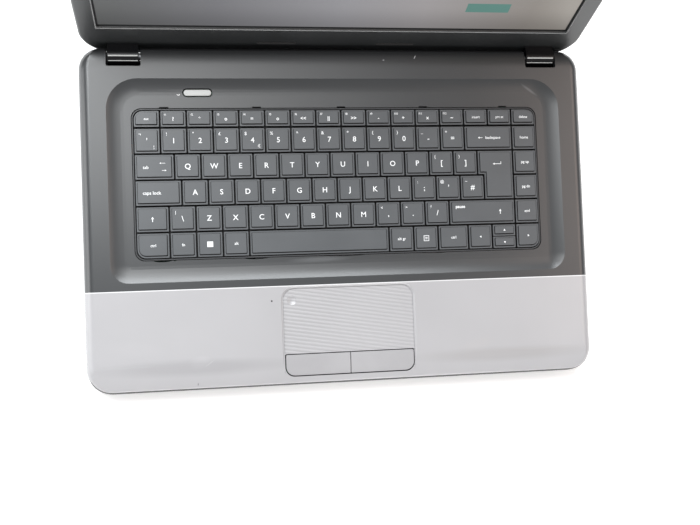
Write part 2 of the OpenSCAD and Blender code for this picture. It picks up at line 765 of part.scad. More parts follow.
module fan_rotor() {
    low = floor_z + 0.8;
    high = fan_top - 1.6;
    color("#1c1d1f") place_base() translate([fan_x, fan_y, low]) difference() {
        union() {
            cylinder(r = 9, h = high - low);
            for (i = [0:12]) rotate([0, 0, i * 360 / 13]) translate([8, -0.5, 0.4])
                cube([rotor_r - 8, 1, high - low - 0.8]);
        }
        translate([0, 0, -1]) cylinder(r = pin_r + run_gap, h = 20);
    }
}

module memory_modules() {
    color("#24603f") place_base() for (z = [floor_z + 0.4, floor_z + 2.1]) {
        block([-50, 122, z], [17.6, 152, z + 1]);
        for (i = [0:3]) block([-46 + i * 16, 130, z + 0.9], [-35 + i * 16, 142, z + 1.5]);
    }
}

module hard_drive() {
    z = case_z + hatch_t + 0.3;
    color("#a9abae") place_base() block([drive_at[0], drive_at[1] + 1, z],
        [drive_at[0] + drive_size[0], drive_at[1] + 1 + drive_size[1], z + drive_size[2]]);
}

module hard_drive_bracket() {
    color("#8f9194") place_base() for (x = [drive_at[0] - 6, drive_at[0] + drive_size[0]])
        block([x, drive_at[1] + 4, floor_z], [x + 6, drive_at[1] + 58, floor_z + 4]);
}

module wireless_card() {
    color("#24603f") place_base() {
        block([-46, 152.6 + 5, board_z - 1.8], [-20, 178, board_z - 0.8]);
        block([-42, 164, board_z - 0.9], [-26, 174, board_z - 0.2]);
    }
}

module clock_cell() {
    color("#b6b8bb") place_base() post(10, [-90, 62], board_top, board_top + 3.2);
}

// ---------------------------------------------------------------- disc drive

tray_low = floor_z + 2;
tray_top = floor_z + 7;
disc_x = drive_x1 - 66;

module optical_drive() {
    y0 = disc_drive_y - drive_w / 2;
    y1 = disc_drive_y + drive_w / 2;
    color("#9a9da1") place_base() difference() {
        block([drive_x0, y0, floor_z], [drive_x1, y1, floor_z + drive_h]);
        block([drive_x0 + drive_skin, y0 + drive_skin, floor_z + drive_skin],
            [drive_x1 + 1, y1 - drive_skin, floor_z + drive_h - drive_skin]);
    }
}

module disc_tray() {
    y0 = disc_drive_y - drive_w / 2 + drive_skin + fit_gap;
    y1 = disc_drive_y + drive_w / 2 - drive_skin - fit_gap;
    button_y = y0 + 24;
    color("#232427") place_base() difference() {
        union() {
            block([drive_x0 + 2, y0, tray_low], [drive_x1 + 1, y1, tray_top]);
            block([drive_x1 + 0.5, y0 - 1.6, floor_z],
                [drive_x1 + 0.5 + face_t, y1 + 1.6, floor_z + drive_h]);
            post(pin_r, [disc_x, disc_drive_y], tray_top - disc_drop - 0.5, tray_top - 0.4);
        }
        difference() {
            post(disc_r, [disc_x, disc_drive_y], tray_top - disc_drop, tray_top + 1);
            post(pin_r, [disc_x, disc_drive_y], 0, tray_top - 0.4);
        }
        block([drive_x1 - 1.5, button_y - 4.3, floor_z + 3.2], [drive_x1 + 4, button_y + 4.3, floor_z + 6.4]);
    }
}

module disc_spindle() {
    color("#c2c4c7") place_base() difference() {
        union() {
            post(hub_r + 6, [disc_x, disc_drive_y], tray_top - disc_drop + 0.15, tray_top - 1.4);
            post(hub_r - 0.1, [disc_x, disc_drive_y], tray_top - 1.5, tray_top + 0.8);
        }
        post(pin_r + run_gap, [disc_x, disc_drive_y], 0, tray_top + 0.1);
    }
}

module tray_button() {
    button_y = disc_drive_y - drive_w / 2 + drive_skin + fit_gap + 24;
    color("#3a3b3e") place_base() block([drive_x1 - 0.3, button_y - 4, floor_z + 3.5],
        [drive_x1 + 0.5 + face_t, button_y + 4, floor_z + 6.1]);
}

// ---------------------------------------------------------------- sound and sockets

module speakers() {
    color("#1a1a1b") place_base() for (s = [-1, 1])
        block([s * 100 - 18, 5, floor_z], [s * 100 + 18, 21, floor_z + 8]);
}

module usb_sockets() {
    color("#b4b6ba") place_base() {
        for (u = left_usb) socket(-1, u[0], [u[1], usb_h], low_socket_z + 1, usb_hole);
        socket(1, right_usb_y, [13.2, usb_h], low_socket_z + 1, usb_hole);
    }
}

module network_socket() {
    color("#1d1d1f") place_base() socket(-1, network_y, network_size, low_socket_z, network_hole);
}

module display_socket() {
    color("#b4b6ba") place_base() socket(-1, display_y, display_size, low_socket_z + 1, display_hole);
}

// The video socket has a flat flange and a standing shell that a plug goes round
module video_socket() {
    x1 = -socket_face;
    zm = low_socket_z + video_size[1] / 2;
    color("#2c4f8f") place_base() {
        block([x1 + 5, video_y - video_size[0] / 2, low_socket_z],
            [x1 + socket_l, video_y + video_size[0] / 2, low_socket_z + video_size[1]]);
        block([x1, video_y - 8.2, zm - 3.9], [x1 + 6, video_y + 8.2, zm + 3.9]);
        for (s = [-1, 1]) rod_x(2.4, x1 + 1, x1 + 6, video_y + s * 12.4, zm);
    }
}

module audio_sockets() {
    h = audio_size / 2;
    color("#1d1d1f") place_base() for (y = audio_places) difference() {
        block([-socket_face, y - h, audio_z - h], [-socket_face + socket_l, y + h, audio_z + h]);
        rod_x(audio_r, -socket_face - 1, -socket_face + 13, y, audio_z);
    }
}

module power_socket() {
    h = inlet_size / 2;
    color("#1d1d1f") place_base() difference() {
        block([socket_face - socket_l, inlet_y - h, inlet_z - h], [socket_face, inlet_y + h, inlet_z + h]);
        rod_x(inlet_r, socket_face - 10, socket_face + 1, inlet_y, inlet_z);
    }
}

module card_slot() {
    w = card_size[0] / 2;
    color("#8f9194") place_base() difference() {
        block([card_x - w, fit_gap, card_z], [card_x + w, card_size[1], card_z + card_size[2]]);
        block([card_x - 12.3, -1, card_z + 1.1], [card_x + 12.3, 29, card_z + 3.5]);
    }
}

// ---------------------------------------------------------------- hinges

// A steel barrel for each hinge shaft, on a bracket that stands on a boss of the bottom case
module hinge_brackets() {
    inner = hinge_x - notch_w / 2;
    color("#77797d") place_base() for (s = [0, 1]) mirror([s, 0, 0]) difference() {
        union() {
            rod_x(shaft_r + 1.2, inner - 17, inner - 4, hinge_y, hinge_z);
            block([inner - 17, hinge_y - 18, hinge_z - 6], [inner - 4, hinge_y - 12, hinge_z - 4.6]);
            block([inner - 16, hinge_y - 12.1, hinge_z - 6], [inner - 5, hinge_y - 10.8, hinge_z + 1]);
            block([inner - 16, hinge_y - 12.1, hinge_z - 0.6], [inner - 5, hinge_y - 3, hinge_z + 1]);
        }
        rod_x(shaft_r + run_gap, inner - 18, inner, hinge_y, hinge_z);
    }
}

module hinge_arms() {
    inner = hinge_x - notch_w / 2;
    rail_x = panel_w / 2 + fit_gap;
    color("#8d8f93") place_lid() for (s = [0, 1]) mirror([s, 0, 0]) {
        rod_x(shaft_r, inner - 18, hinge_x + 4, hinge_y, hinge_z);
        rod_x(4, hinge_x - 6, hinge_x + 6, hinge_y, hinge_z);
        block([hinge_x - 5, hinge_y - 3, hinge_z], [hinge_x + 5, hinge_y + 3, panel_z + 2]);
        block([hinge_x - 5, panel_rear + 1, panel_z], [hinge_x + 8, hinge_y + 3, panel_z + 2]);
        block([hinge_x + 7, panel_rear + 1, panel_z], [rail_x + 2, panel_rear + 5, panel_z + 2]);
        block([rail_x, panel_front + 12, panel_z], [rail_x + 2, panel_rear + 5, panel_z + 3.5]);
    }
}

// The plastic knuckle that hides the metal arm
module hinge_covers() {
    half = notch_w / 2 - 0.6;
    color("#151517") place_lid() for (s = [0, 1]) mirror([s, 0, 0]) difference() {
        union() {
            rod_x(roll_r + 0.4, hinge_x - half, hinge_x + half, hinge_y, hinge_z);
            block([hinge_x - half, hinge_y - roll_r + 0.4, hinge_z],
                [hinge_x + half, hinge_y + roll_r - 0.4, bezel_z]);
        }
        rod_x(4.4, hinge_x - 7, hinge_x + 7, hinge_y, hinge_z);
        rod_x(shaft_r + 0.4, hinge_x - half - 1, hinge_x, hinge_y, hinge_z);
        block([hinge_x - 5.4, hinge_y - 3.4, hinge_z], [hinge_x + 5.4, hinge_y + 3.4, bezel_z + 1]);
    }
}

// ---------------------------------------------------------------- lid

module lid_cover() {
    color("#26272a") place_lid() difference() {
        lid_slab(0, bezel_z + bezel_t, lid_back_z);
        lid_slab(lid_wall, bezel_z, lid_back_z - lid_wall);
    }
}

module screen_bezel() {
    color("#17181a") place_lid() difference() {
        lid_slab(0, bezel_z, bezel_z + bezel_t);
        block([-screen_w / 2, screen_y - screen_h / 2, 0], [screen_w / 2, screen_y + screen_h / 2, 99]);
        for (s = [-1, 1]) block([s * hinge_x - 5.4, hinge_y - 3.4, 0],
            [s * hinge_x + 5.4, hinge_y + 3.4, 99]);
        post(1.2, [0, screen_y - screen_h / 2 - 8], 0, 99);
    }
}

module display_panel() {
    color("#a0a2a6") place_lid() block([-panel_w / 2, panel_front, panel_z],
        [panel_w / 2, panel_rear, panel_z + panel_t]);
}

module screen_face() {
    color("#8d8894") place_lid() block([-screen_w / 2 - 3, screen_y - screen_h / 2 - 3, panel_z - glass_t],
        [screen_w / 2 + 3, screen_y + screen_h / 2 + 3, panel_z]);
}

module webcam_module() {
    y = screen_y - screen_h / 2 - 8;
    color("#1f5a3a") place_lid() {
        block([-16, y - 2, bezel_z + bezel_t], [16, y + 1.8, bezel_z + bezel_t + 2]);
        post(1, [0, y], bezel_z + 0.6, bezel_z + bezel_t + 0.1);
    }
}

module screen_cable() {
    color("#2b2b2b") place_lid() block([-hinge_x + 14, panel_rear + 2, bezel_z + bezel_t],
        [0, panel_rear + 6, bezel_z + bezel_t + 1]);
}

// Soft pads that keep the shut lid off the palm rest
module bezel_bumpers() {
    color("#3a3b3d") place_lid() {
        for (x = [-46, 42]) block([x - 14, hinge_y - 9, bezel_z - 0.5],
            [x + 14, hinge_y - 7.4, bezel_z]);
        for (s = [-1, 1]) post(3, [s * 150, 10], bezel_z - 0.7, bezel_z);
    }
}

// ---------------------------------------------------------------- nodes

bottom_case();
top_cover();
rubber_feet();
case_screws();
service_cover();
battery_pack();
battery_latch();
keyboard_plate();
keyboard_membrane();
key_scissors();
keyboard_frame();
keyboard_clips();
keys_function_row();
keys_number_row();
keys_upper_row();
keys_home_row();
keys_lower_row();
keys_bottom_row();
space_bar();
enter_key();
arrow_keys();
power_button();
power_button_board();
touchpad_board();
touchpad_button_left();
touchpad_button_right();
touchpad_button_board();
mainboard();
side_board();
processor();
heat_sink();
fan_housing();
fan_rotor();
memory_modules();
hard_drive();
hard_drive_bracket();
wireless_card();
clock_cell();
optical_drive();
disc_tray();
disc_spindle();
tray_button();
speakers();
usb_sockets();
network_socket();
video_socket();
display_socket();
audio_sockets();
power_socket();
card_slot();
hinge_brackets();
lid_cover();
screen_bezel();
display_panel();
screen_face();
hinge_arms();
hinge_covers();
webcam_module();
screen_cable();
bezel_bumpers();
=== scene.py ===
# %% [markdown]
# # A worn laptop, open on a white table
# The CAD frame gives every size and place. This script gives the surfaces: moulded shells with
# soft edges, tile keys with printed legends, a dished keyboard deck, a lit screen, the marks
# of years of use, and painted highlights and painted shade on the cover, the keys and the hinge
# knuckles. Lengths below are in millimetres, and MM turns them into Blender's metres.

# %% Load the frame
import json
import math
import random

import bpy
from mathutils import Matrix, Vector


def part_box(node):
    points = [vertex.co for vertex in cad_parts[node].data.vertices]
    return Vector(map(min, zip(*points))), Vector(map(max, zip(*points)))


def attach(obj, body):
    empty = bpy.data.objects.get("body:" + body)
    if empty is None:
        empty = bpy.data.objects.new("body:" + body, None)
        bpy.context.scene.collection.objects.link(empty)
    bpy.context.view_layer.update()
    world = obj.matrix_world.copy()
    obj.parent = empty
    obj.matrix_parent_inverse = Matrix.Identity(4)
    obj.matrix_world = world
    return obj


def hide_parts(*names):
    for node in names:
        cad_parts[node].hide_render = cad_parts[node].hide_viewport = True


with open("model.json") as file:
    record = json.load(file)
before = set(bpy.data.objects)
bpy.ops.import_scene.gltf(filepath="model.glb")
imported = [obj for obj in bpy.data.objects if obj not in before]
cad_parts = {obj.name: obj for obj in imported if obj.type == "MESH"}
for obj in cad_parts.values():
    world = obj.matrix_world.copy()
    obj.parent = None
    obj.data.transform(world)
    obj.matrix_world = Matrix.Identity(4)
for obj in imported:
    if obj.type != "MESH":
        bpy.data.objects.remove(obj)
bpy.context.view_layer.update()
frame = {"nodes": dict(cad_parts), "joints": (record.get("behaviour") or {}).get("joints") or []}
MM = 0.001
random.seed(7)
nodes = frame["nodes"]
joints = {j["name"]: j for j in frame["joints"]}

# %% [markdown]
# ## Places read from the frame
# Y is counted from the front edge of the base, as a designer would count it, and the lid's pieces
# are drawn shut and then swung open about the hinge.

# %% Sizes and places
def corners(node):
    low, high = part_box(node)
    return [v / MM for v in low], [v / MM for v in high]


case_low, case_high = corners("bottom_case")
cover_high = corners("top_cover")[1]
FRONT = case_low[1]
WIDTH = case_high[0] - case_low[0]
DEPTH = cover_high[1] - FRONT
SPLIT_Z, TOP_Z = case_high[2], cover_high[2]
FRONT_R, REAR_R, ROLL_R = 18, 16, 6
HINGE = [v / MM for v in joints["lid_hinge"]["pos_m"]]
LID_OPEN = -math.radians(joints["lid_hinge"]["range_deg"][0])
DECK_DROP = 2.2
DECK_Z = TOP_Z - DECK_DROP
DECK_FRONT, DECK_REAR, DECK_SIDE = 77.5, 223, 19
FILM_EDGE = 72.2
BEZEL_Z = TOP_Z + 1
BEZEL_T, LID_T = 2.2, 9.5
LID_W = 2 * corners("lid_cover")[1][0]
swing = (Matrix.Translation([0, HINGE[1] * MM, HINGE[2] * MM]) @ Matrix.Rotation(-LID_OPEN, 4, "X")
    @ Matrix.Translation([0, -HINGE[1] * MM, -HINGE[2] * MM]))
print("base", round(WIDTH, 1), "x", round(DEPTH, 1), "front edge at", round(FRONT, 1))

# %% [markdown]
# ## Camera
# The camera looks almost straight down from above the keyboard, a little to its left.

# %% Camera
LENS = 45.19
EYE = Vector([-102.07, 64.67 + FRONT, 633.12 + TOP_Z]) * MM
LOOK = Vector([0.16205, 0.03547, -0.98614]).normalized()
UP = Vector([0.03200, 0.99864, 0.04118])


def aim(thing, eye, look, up):
    side = look.cross(up).normalized()
    top = side.cross(look)
    turn = Matrix([side, top, -look]).transposed().to_4x4()
    thing.matrix_world = Matrix.Translation(eye) @ turn


camera = bpy.data.objects.new("camera", bpy.data.cameras.new("camera"))
bpy.context.scene.collection.objects.link(camera)
camera.data.lens = LENS
camera.data.sensor_width = 36
aim(camera, EYE, LOOK, UP)
bpy.context.scene.camera = camera

# %% [markdown]
# ## Small tools
# A modeller's usual moves: add a block, pick edges or faces by their place, bevel them, carve one
# shape out of another, and turn the shading smooth while flat faces stay flat.

# %% Modelling helpers
def clear_selection():
    if bpy.context.object and bpy.context.object.mode != "OBJECT":
        bpy.ops.object.mode_set(mode="OBJECT")
    bpy.ops.object.select_all(action="DESELECT")


def activate(piece):
    clear_selection()
    piece.select_set(True)
    bpy.context.view_layer.objects.active = piece


def settle(piece):
    activate(piece)
    bpy.ops.object.transform_apply(location=True, rotation=True, scale=True)
    return piece


def add_block(name, low, high):
    """A block between two corners, in millimetres."""
    clear_selection()
    middle = [(a + b) / 2 * MM for a, b in zip(low, high)]
    size = [(b - a) * MM for a, b in zip(low, high)]
    bpy.ops.mesh.primitive_cube_add(size=1, location=middle, scale=size)
    bpy.context.object.name = name
    return settle(bpy.context.object)


def add_rod(name, radius, start, end, sides=48):
    """A round rod from one point to another along one axis, in millimetres."""
    clear_selection()
    a, b = Vector(start) * MM, Vector(end) * MM
    turn = (b - a).to_track_quat("Z", "Y").to_euler()
    bpy.ops.mesh.primitive_cylinder_add(vertices=sides, radius=radius * MM, depth=(b - a).length,
        location=(a + b) / 2, rotation=turn)
    bpy.context.object.name = name
    return settle(bpy.context.object)


def pick(piece, kind, wanted):
    """Enters edit mode with only the wanted faces or edges selected. wanted gets millimetres."""
    activate(piece)
    mesh = piece.data
    for group in (mesh.vertices, mesh.edges, mesh.polygons):
        group.foreach_set("select", [False] * len(group))
    if kind == "faces":
        for face in mesh.polygons:
            face.select = bool(wanted(face.center / MM, face.normal))
    else:
        for edge in mesh.edges:
            a, b = [mesh.vertices[i] for i in edge.vertices]
            edge.select = bool(wanted(a.co / MM, b.co / MM))
            if edge.select:
                a.select = b.select = True
    bpy.context.tool_settings.mesh_select_mode = (False, kind == "edges", kind == "faces")
    bpy.ops.object.mode_set(mode="EDIT")


def leave():
    bpy.ops.object.mode_set(mode="OBJECT")


def bevel_edges(piece, wanted, radius, steps):
    pick(piece, "edges", wanted)
    bpy.ops.mesh.bevel(offset=radius * MM, segments=steps, affect="EDGES")
    leave()


def upright(a, b):
    return abs(a.x - b.x) < 0.01 and abs(a.y - b.y) < 0.01 and abs(a.z - b.z) > 0.1


def add_slab(name, low, high, front_r, rear_r, steps=10):
    """A block whose upright edges are rounded, with one radius in front and one behind."""
    piece = add_block(name, low, high)
    middle = (low[1] + high[1]) / 2
    if front_r:
        bevel_edges(piece, lambda a, b: upright(a, b) and a.y < middle, front_r, steps)
    if rear_r:
        bevel_edges(piece, lambda a, b: upright(a, b) and a.y > middle, rear_r, steps)
    return piece


def carve(piece, tool, action="DIFFERENCE"):
    """Cuts the tool's shape out of the piece, or joins it on, and throws the tool away."""
    activate(piece)
    bpy.ops.object.modifier_add(type="BOOLEAN")
    cut = piece.modifiers[-1]
    cut.object = tool
    cut.operation = action
    cut.solver = "EXACT"
    bpy.ops.object.modifier_apply(modifier=cut.name)
    bpy.data.objects.remove(tool)


def soften(piece, width=0.3, steps=2, angle=35):
    """A fine bevel on every hard edge, then shading that keeps the flat faces flat."""
    activate(piece)
    if width:
        bpy.ops.object.modifier_add(type="BEVEL")
        fine = piece.modifiers[-1]
        fine.width = width * MM
        fine.segments = steps
        fine.limit_method = "ANGLE"
        fine.angle_limit = math.radians(angle)
        fine.miter_outer = "MITER_ARC"
        bpy.ops.object.modifier_apply(modifier=fine.name)
    bpy.ops.object.shade_smooth_by_angle(angle=math.radians(50))
    for face in piece.data.polygons:
        if face.area > 6 * MM * MM and abs(face.normal.z) > 0.999:
            face.use_smooth = False
    bpy.ops.object.modifier_add(type="WEIGHTED_NORMAL")
    even = piece.modifiers[-1]
    even.keep_sharp = True
    even.weight = 100
    bpy.ops.object.modifier_apply(modifier=even.name)
    return piece


def join(name, pieces):
    activate(pieces[0])
    for piece in pieces:
        piece.select_set(True)
    bpy.ops.object.join()
    bpy.context.object.name = name
    return bpy.context.object


def open_up(piece):
    """Swings a piece that was drawn on the shut lid to where the open lid is."""
    piece.data.transform(swing)
    return piece


def finish_piece(piece, look, body, stands_for):
    """Gives a finished piece its look and its body, and hides the CAD nodes that it stands for."""
    if not piece.data.materials:
        piece.data.materials.append(look)
    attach(piece, body)
    if stands_for:
        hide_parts(*stands_for)
    print(piece.name, len(piece.data.polygons), "faces")
    return piece


# %% [markdown]
# ## Materials
# Colours are written as a paint chart would give them, and one function turns them into light.

# %% Material helpers
def light_of(hex_colour):
    channels = [int(hex_colour[i:i + 2], 16) / 255 for i in (1, 3, 5)]
    linear = [c / 12.92 if c <= 0.04045 else ((c + 0.055) / 1.055) ** 2.4 for c in channels]
    return (*linear, 1.0)


def add_node(tree, kind, sockets=None, **settings):
    """Adds a node; a socket's value is a number, a colour or another node's output."""
    node = tree.nodes.new(kind)
    for name, value in settings.items():
        setattr(node, name, value)
    for name, value in (sockets or {}).items():
        if isinstance(value, bpy.types.NodeSocket):
            tree.links.new(value, node.inputs[name])
        else:
            node.inputs[name].default_value = value
    return node


def new_material(name, colour, roughness, metallic=0.0, specular=0.5, coat=0.0, coat_roughness=0.1):
    look = bpy.data.materials.new(name)
    look.use_nodes = True
    shader = look.node_tree.nodes["Principled BSDF"]
    shader.inputs["Base Color"].default_value = light_of(colour)
    shader.inputs["Roughness"].default_value = roughness
    shader.inputs["Metallic"].default_value = metallic
    shader.inputs["Specular IOR Level"].default_value = specular
    shader.inputs["Coat Weight"].default_value = coat
    shader.inputs["Coat Roughness"].default_value = coat_roughness
    look.diffuse_color = light_of(colour)
    return look, look.node_tree, shader


def grain(look, tree, shader, size, height, colour, spread, roughness, roughness_spread):
    """Moulded plastic: fine texture from the mould, cloudy handling marks and uneven gloss.
    size is the grain's width and height its depth, in millimetres."""
    place = add_node(tree, "ShaderNodeTexCoord").outputs["Object"]
    fine = add_node(tree, "ShaderNodeTexNoise", {"Vector": place, "Scale": 1000 / size, "Detail": 3.0})
    cloud = add_node(tree, "ShaderNodeTexNoise",
        {"Vector": place, "Scale": 22.0, "Detail": 5.0, "Roughness": 0.6})
    bump = add_node(tree, "ShaderNodeBump",
        {"Height": fine.outputs["Fac"], "Strength": 0.35, "Distance": height * MM})
    tree.links.new(bump.outputs["Normal"], shader.inputs["Normal"])
    shade = add_node(tree, "ShaderNodeMapRange",
        {"Value": cloud.outputs["Fac"], "From Min": 0.3, "From Max": 0.7,
        "To Min": 1 - spread, "To Max": 1 + spread})
    tint = add_node(tree, "ShaderNodeVectorMath", {0: light_of(colour)[:3], "Scale": shade.outputs["Result"]},
        operation="SCALE")
    tree.links.new(tint.outputs["Vector"], shader.inputs["Base Color"])
    gloss = add_node(tree, "ShaderNodeMapRange",
        {"Value": cloud.outputs["Fac"], "From Min": 0.3, "From Max": 0.7,
        "To Min": roughness - roughness_spread, "To Max": roughness + roughness_spread})
    tree.links.new(gloss.outputs["Result"], shader.inputs["Roughness"])
    return tint, bump


def plastic(name, colour, roughness, size=0.5, height=0.03, spread=0.05, roughness_spread=0.06, **more):
    look, tree, shader = new_material(name, colour, roughness, **more)
    grain(look, tree, shader, size, height, colour, spread, roughness, roughness_spread)
    return look


# %% [markdown]
# ### Plastics, metals and rubber
# ABS straight from a grained mould is matt and slightly cloudy where hands have polished it. The
# keys are brighter than the deck: partly wear, partly a painted sheen on their tops, while the
# walls of their steps carry painted shade. Zinc plate and stamped steel have a fine rolled grain.

# %% Plain finishes
black_abs = plastic("grained_black_abs", "#1d1d1f", 0.55)
# Key plastic in two copies: the lighter one on tops and flanges is partly wear and partly a painted sheen;
# the darker one on the step walls, the groove and the skirt is painted shade.
key_abs = plastic("matt_key_abs", "#4b4e51", 0.4, size=0.35, height=0.008, spread=0.06, specular=0.6)
key_step_painted_shade = plastic("key_abs_painted_shade", "#17181a", 0.6, size=0.35, height=0.012)
deck_black = plastic("keyboard_tray_black", "#0c0c0d", 0.6)
rim_abs = plastic("keyboard_rim_abs", "#3a3b3d", 0.4, size=0.4, height=0.01)
lid_abs = plastic("satin_lid_abs", "#232427", 0.38, size=0.4, height=0.01)
bezel_abs = plastic("matt_bezel_abs", "#191b1c", 0.33, size=0.5, height=0.006, spread=0.1, specular=1.0,
    roughness_spread=0.03)
hinge_black = plastic("gloss_hinge_abs", "#08080a", 0.16, size=0.8, height=0.002)
# Silver paint of the power button. The same silver on the thin rods along the hinge knuckles is a painted
# highlight.
button_silver_and_painted_glint = plastic("silver_button_and_painted_glint", "#bdbfbe", 0.3, size=0.3, height=0.004)
pad_abs = plastic("satin_button_abs", "#9a999b", 0.4, size=0.4, height=0.01)
soft_rubber = plastic("moulded_rubber", "#171717", 0.8, size=0.6, height=0.03)
legend_ink = plastic("white_legend_ink", "#e9ebec", 0.5, size=0.2, height=0.003, spread=0.04)
board_green = plastic("green_solder_mask", "#1c5238", 0.35, size=1.2, height=0.01, spread=0.15)
acetal = plastic("natural_acetal", "#c9c8c2", 0.45, size=0.6, height=0.01)
connector_blue = plastic("blue_connector_insert", "#24488c", 0.4, size=0.6, height=0.01)


def metal(name, colour, roughness, grain_size=0.25):
    """Rolled or stamped metal, with a grain drawn out along X by ten times."""
    look, tree, shader = new_material(name, colour, roughness, metallic=1.0)
    place = add_node(tree, "ShaderNodeTexCoord").outputs["Object"]
    drawn = add_node(tree, "ShaderNodeMapping", {"Vector": place, "Scale": (0.1, 1.0, 1.0)})
    streak = add_node(tree, "ShaderNodeTexNoise",
        {"Vector": drawn.outputs["Vector"], "Scale": 1000 / grain_size,
        "Detail": 2.0})
    gloss = add_node(tree, "ShaderNodeMapRange", {"Value": streak.outputs["Fac"], "To Min": roughness - 0.1,
        "To Max": roughness + 0.12})
    tree.links.new(gloss.outputs["Result"], shader.inputs["Roughness"])
    bump = add_node(tree, "ShaderNodeBump",
        {"Height": streak.outputs["Fac"], "Strength": 0.2, "Distance": 0.01 * MM})
    tree.links.new(bump.outputs["Normal"], shader.inputs["Normal"])
    return look


steel = metal("zinc_plated_steel", "#a9abae", 0.34)
aluminium = metal("rolled_aluminium", "#b9bbbe", 0.4)
copper = metal("bare_copper", "#b87a58", 0.32)

# %% [markdown]
# ### Two-tone film of the top cover
# The cover is one moulding under a printed film: dark grey round the keys and silver grey on the
# palm rest, meeting in a straight line. Place along Y decides which, so the line stays crisp.
# A thin pale line just in front of the join is a painted highlight on the joint's edge. Painted
# shade darkens the strip by the hinge, where the lid stands over it. Each scratch, scuff and rubbed
# patch is a soft oval at its own place, and so are a painted highlight in front of the keys and two
# long bands of painted shade along the front of the palm rest.

# %% Cover film
# Each mark: place, half length, half width, turn, strength and colour. First two scratches by the
# hinge, then the nick in the front edge and the rubbed patches on the palm rest. The pale band in
# front of the keys is a painted highlight, and the two long dark bands along the front of the palm
# rest are painted shade.
FILM_WEAR_AND_PAINTED_LIGHT = (
    (57, 239.4, 1.9, 0.35, 62, 0.9, "#d0d2d4"), (33, 237, 0.9, 0.5, 10, 0.7, "#b9bbbd"),
    (-110, 4.6, 1.3, 0.4, 85, 0.9, "#4a4a4c"), (-101.5, 19, 4.5, 0.4, 35, 0.22, "#e6e6e8"),
    (-108, 20, 9, 5, 10, 0.1, "#d8d7da"), (-150, 31, 24, 7, -8, 0.25, "#a9a8aa"),
    # The pale band at x -20, y 90.5 is a painted highlight in front of the keys.
    (96, 24, 16, 5, 12, 0.2, "#a9a5a4"), (-20, 90.5, 26, 2.2, 1, 0.35, "#6c6e70"),
    # The long bands at x -112 and x 114, near y 16, are painted shade where the palm rest falls away.
    (146, 215, 9, 1.2, -35, 0.35, "#77797b"), (-112, 16.5, 78, 7, 0, 0.45, "#8b8a8c"),
    (114, 15.5, 76, 6.5, 0, 0.3, "#8b8785"),
)


def add_mark(tree, place, x, y, length, width, turn):
    """A soft oval mark on the cover, 1 in its middle and 0 outside. Sizes are half sizes in mm."""
    local = add_node(tree, "ShaderNodeMapping",
        {"Vector": place, "Location": [v * MM for v in (x, y + FRONT, TOP_Z)],
        "Rotation": (0, 0, math.radians(turn)), "Scale": (length * MM, width * MM, 12 * MM)},
        vector_type="TEXTURE")
    ball = add_node(tree, "ShaderNodeTexGradient",
        {"Vector": local.outputs["Vector"]}, gradient_type="SPHERICAL")
    return add_node(tree, "ShaderNodeMapRange",
        {"Value": ball.outputs["Fac"], "From Max": 0.6}).outputs["Result"]


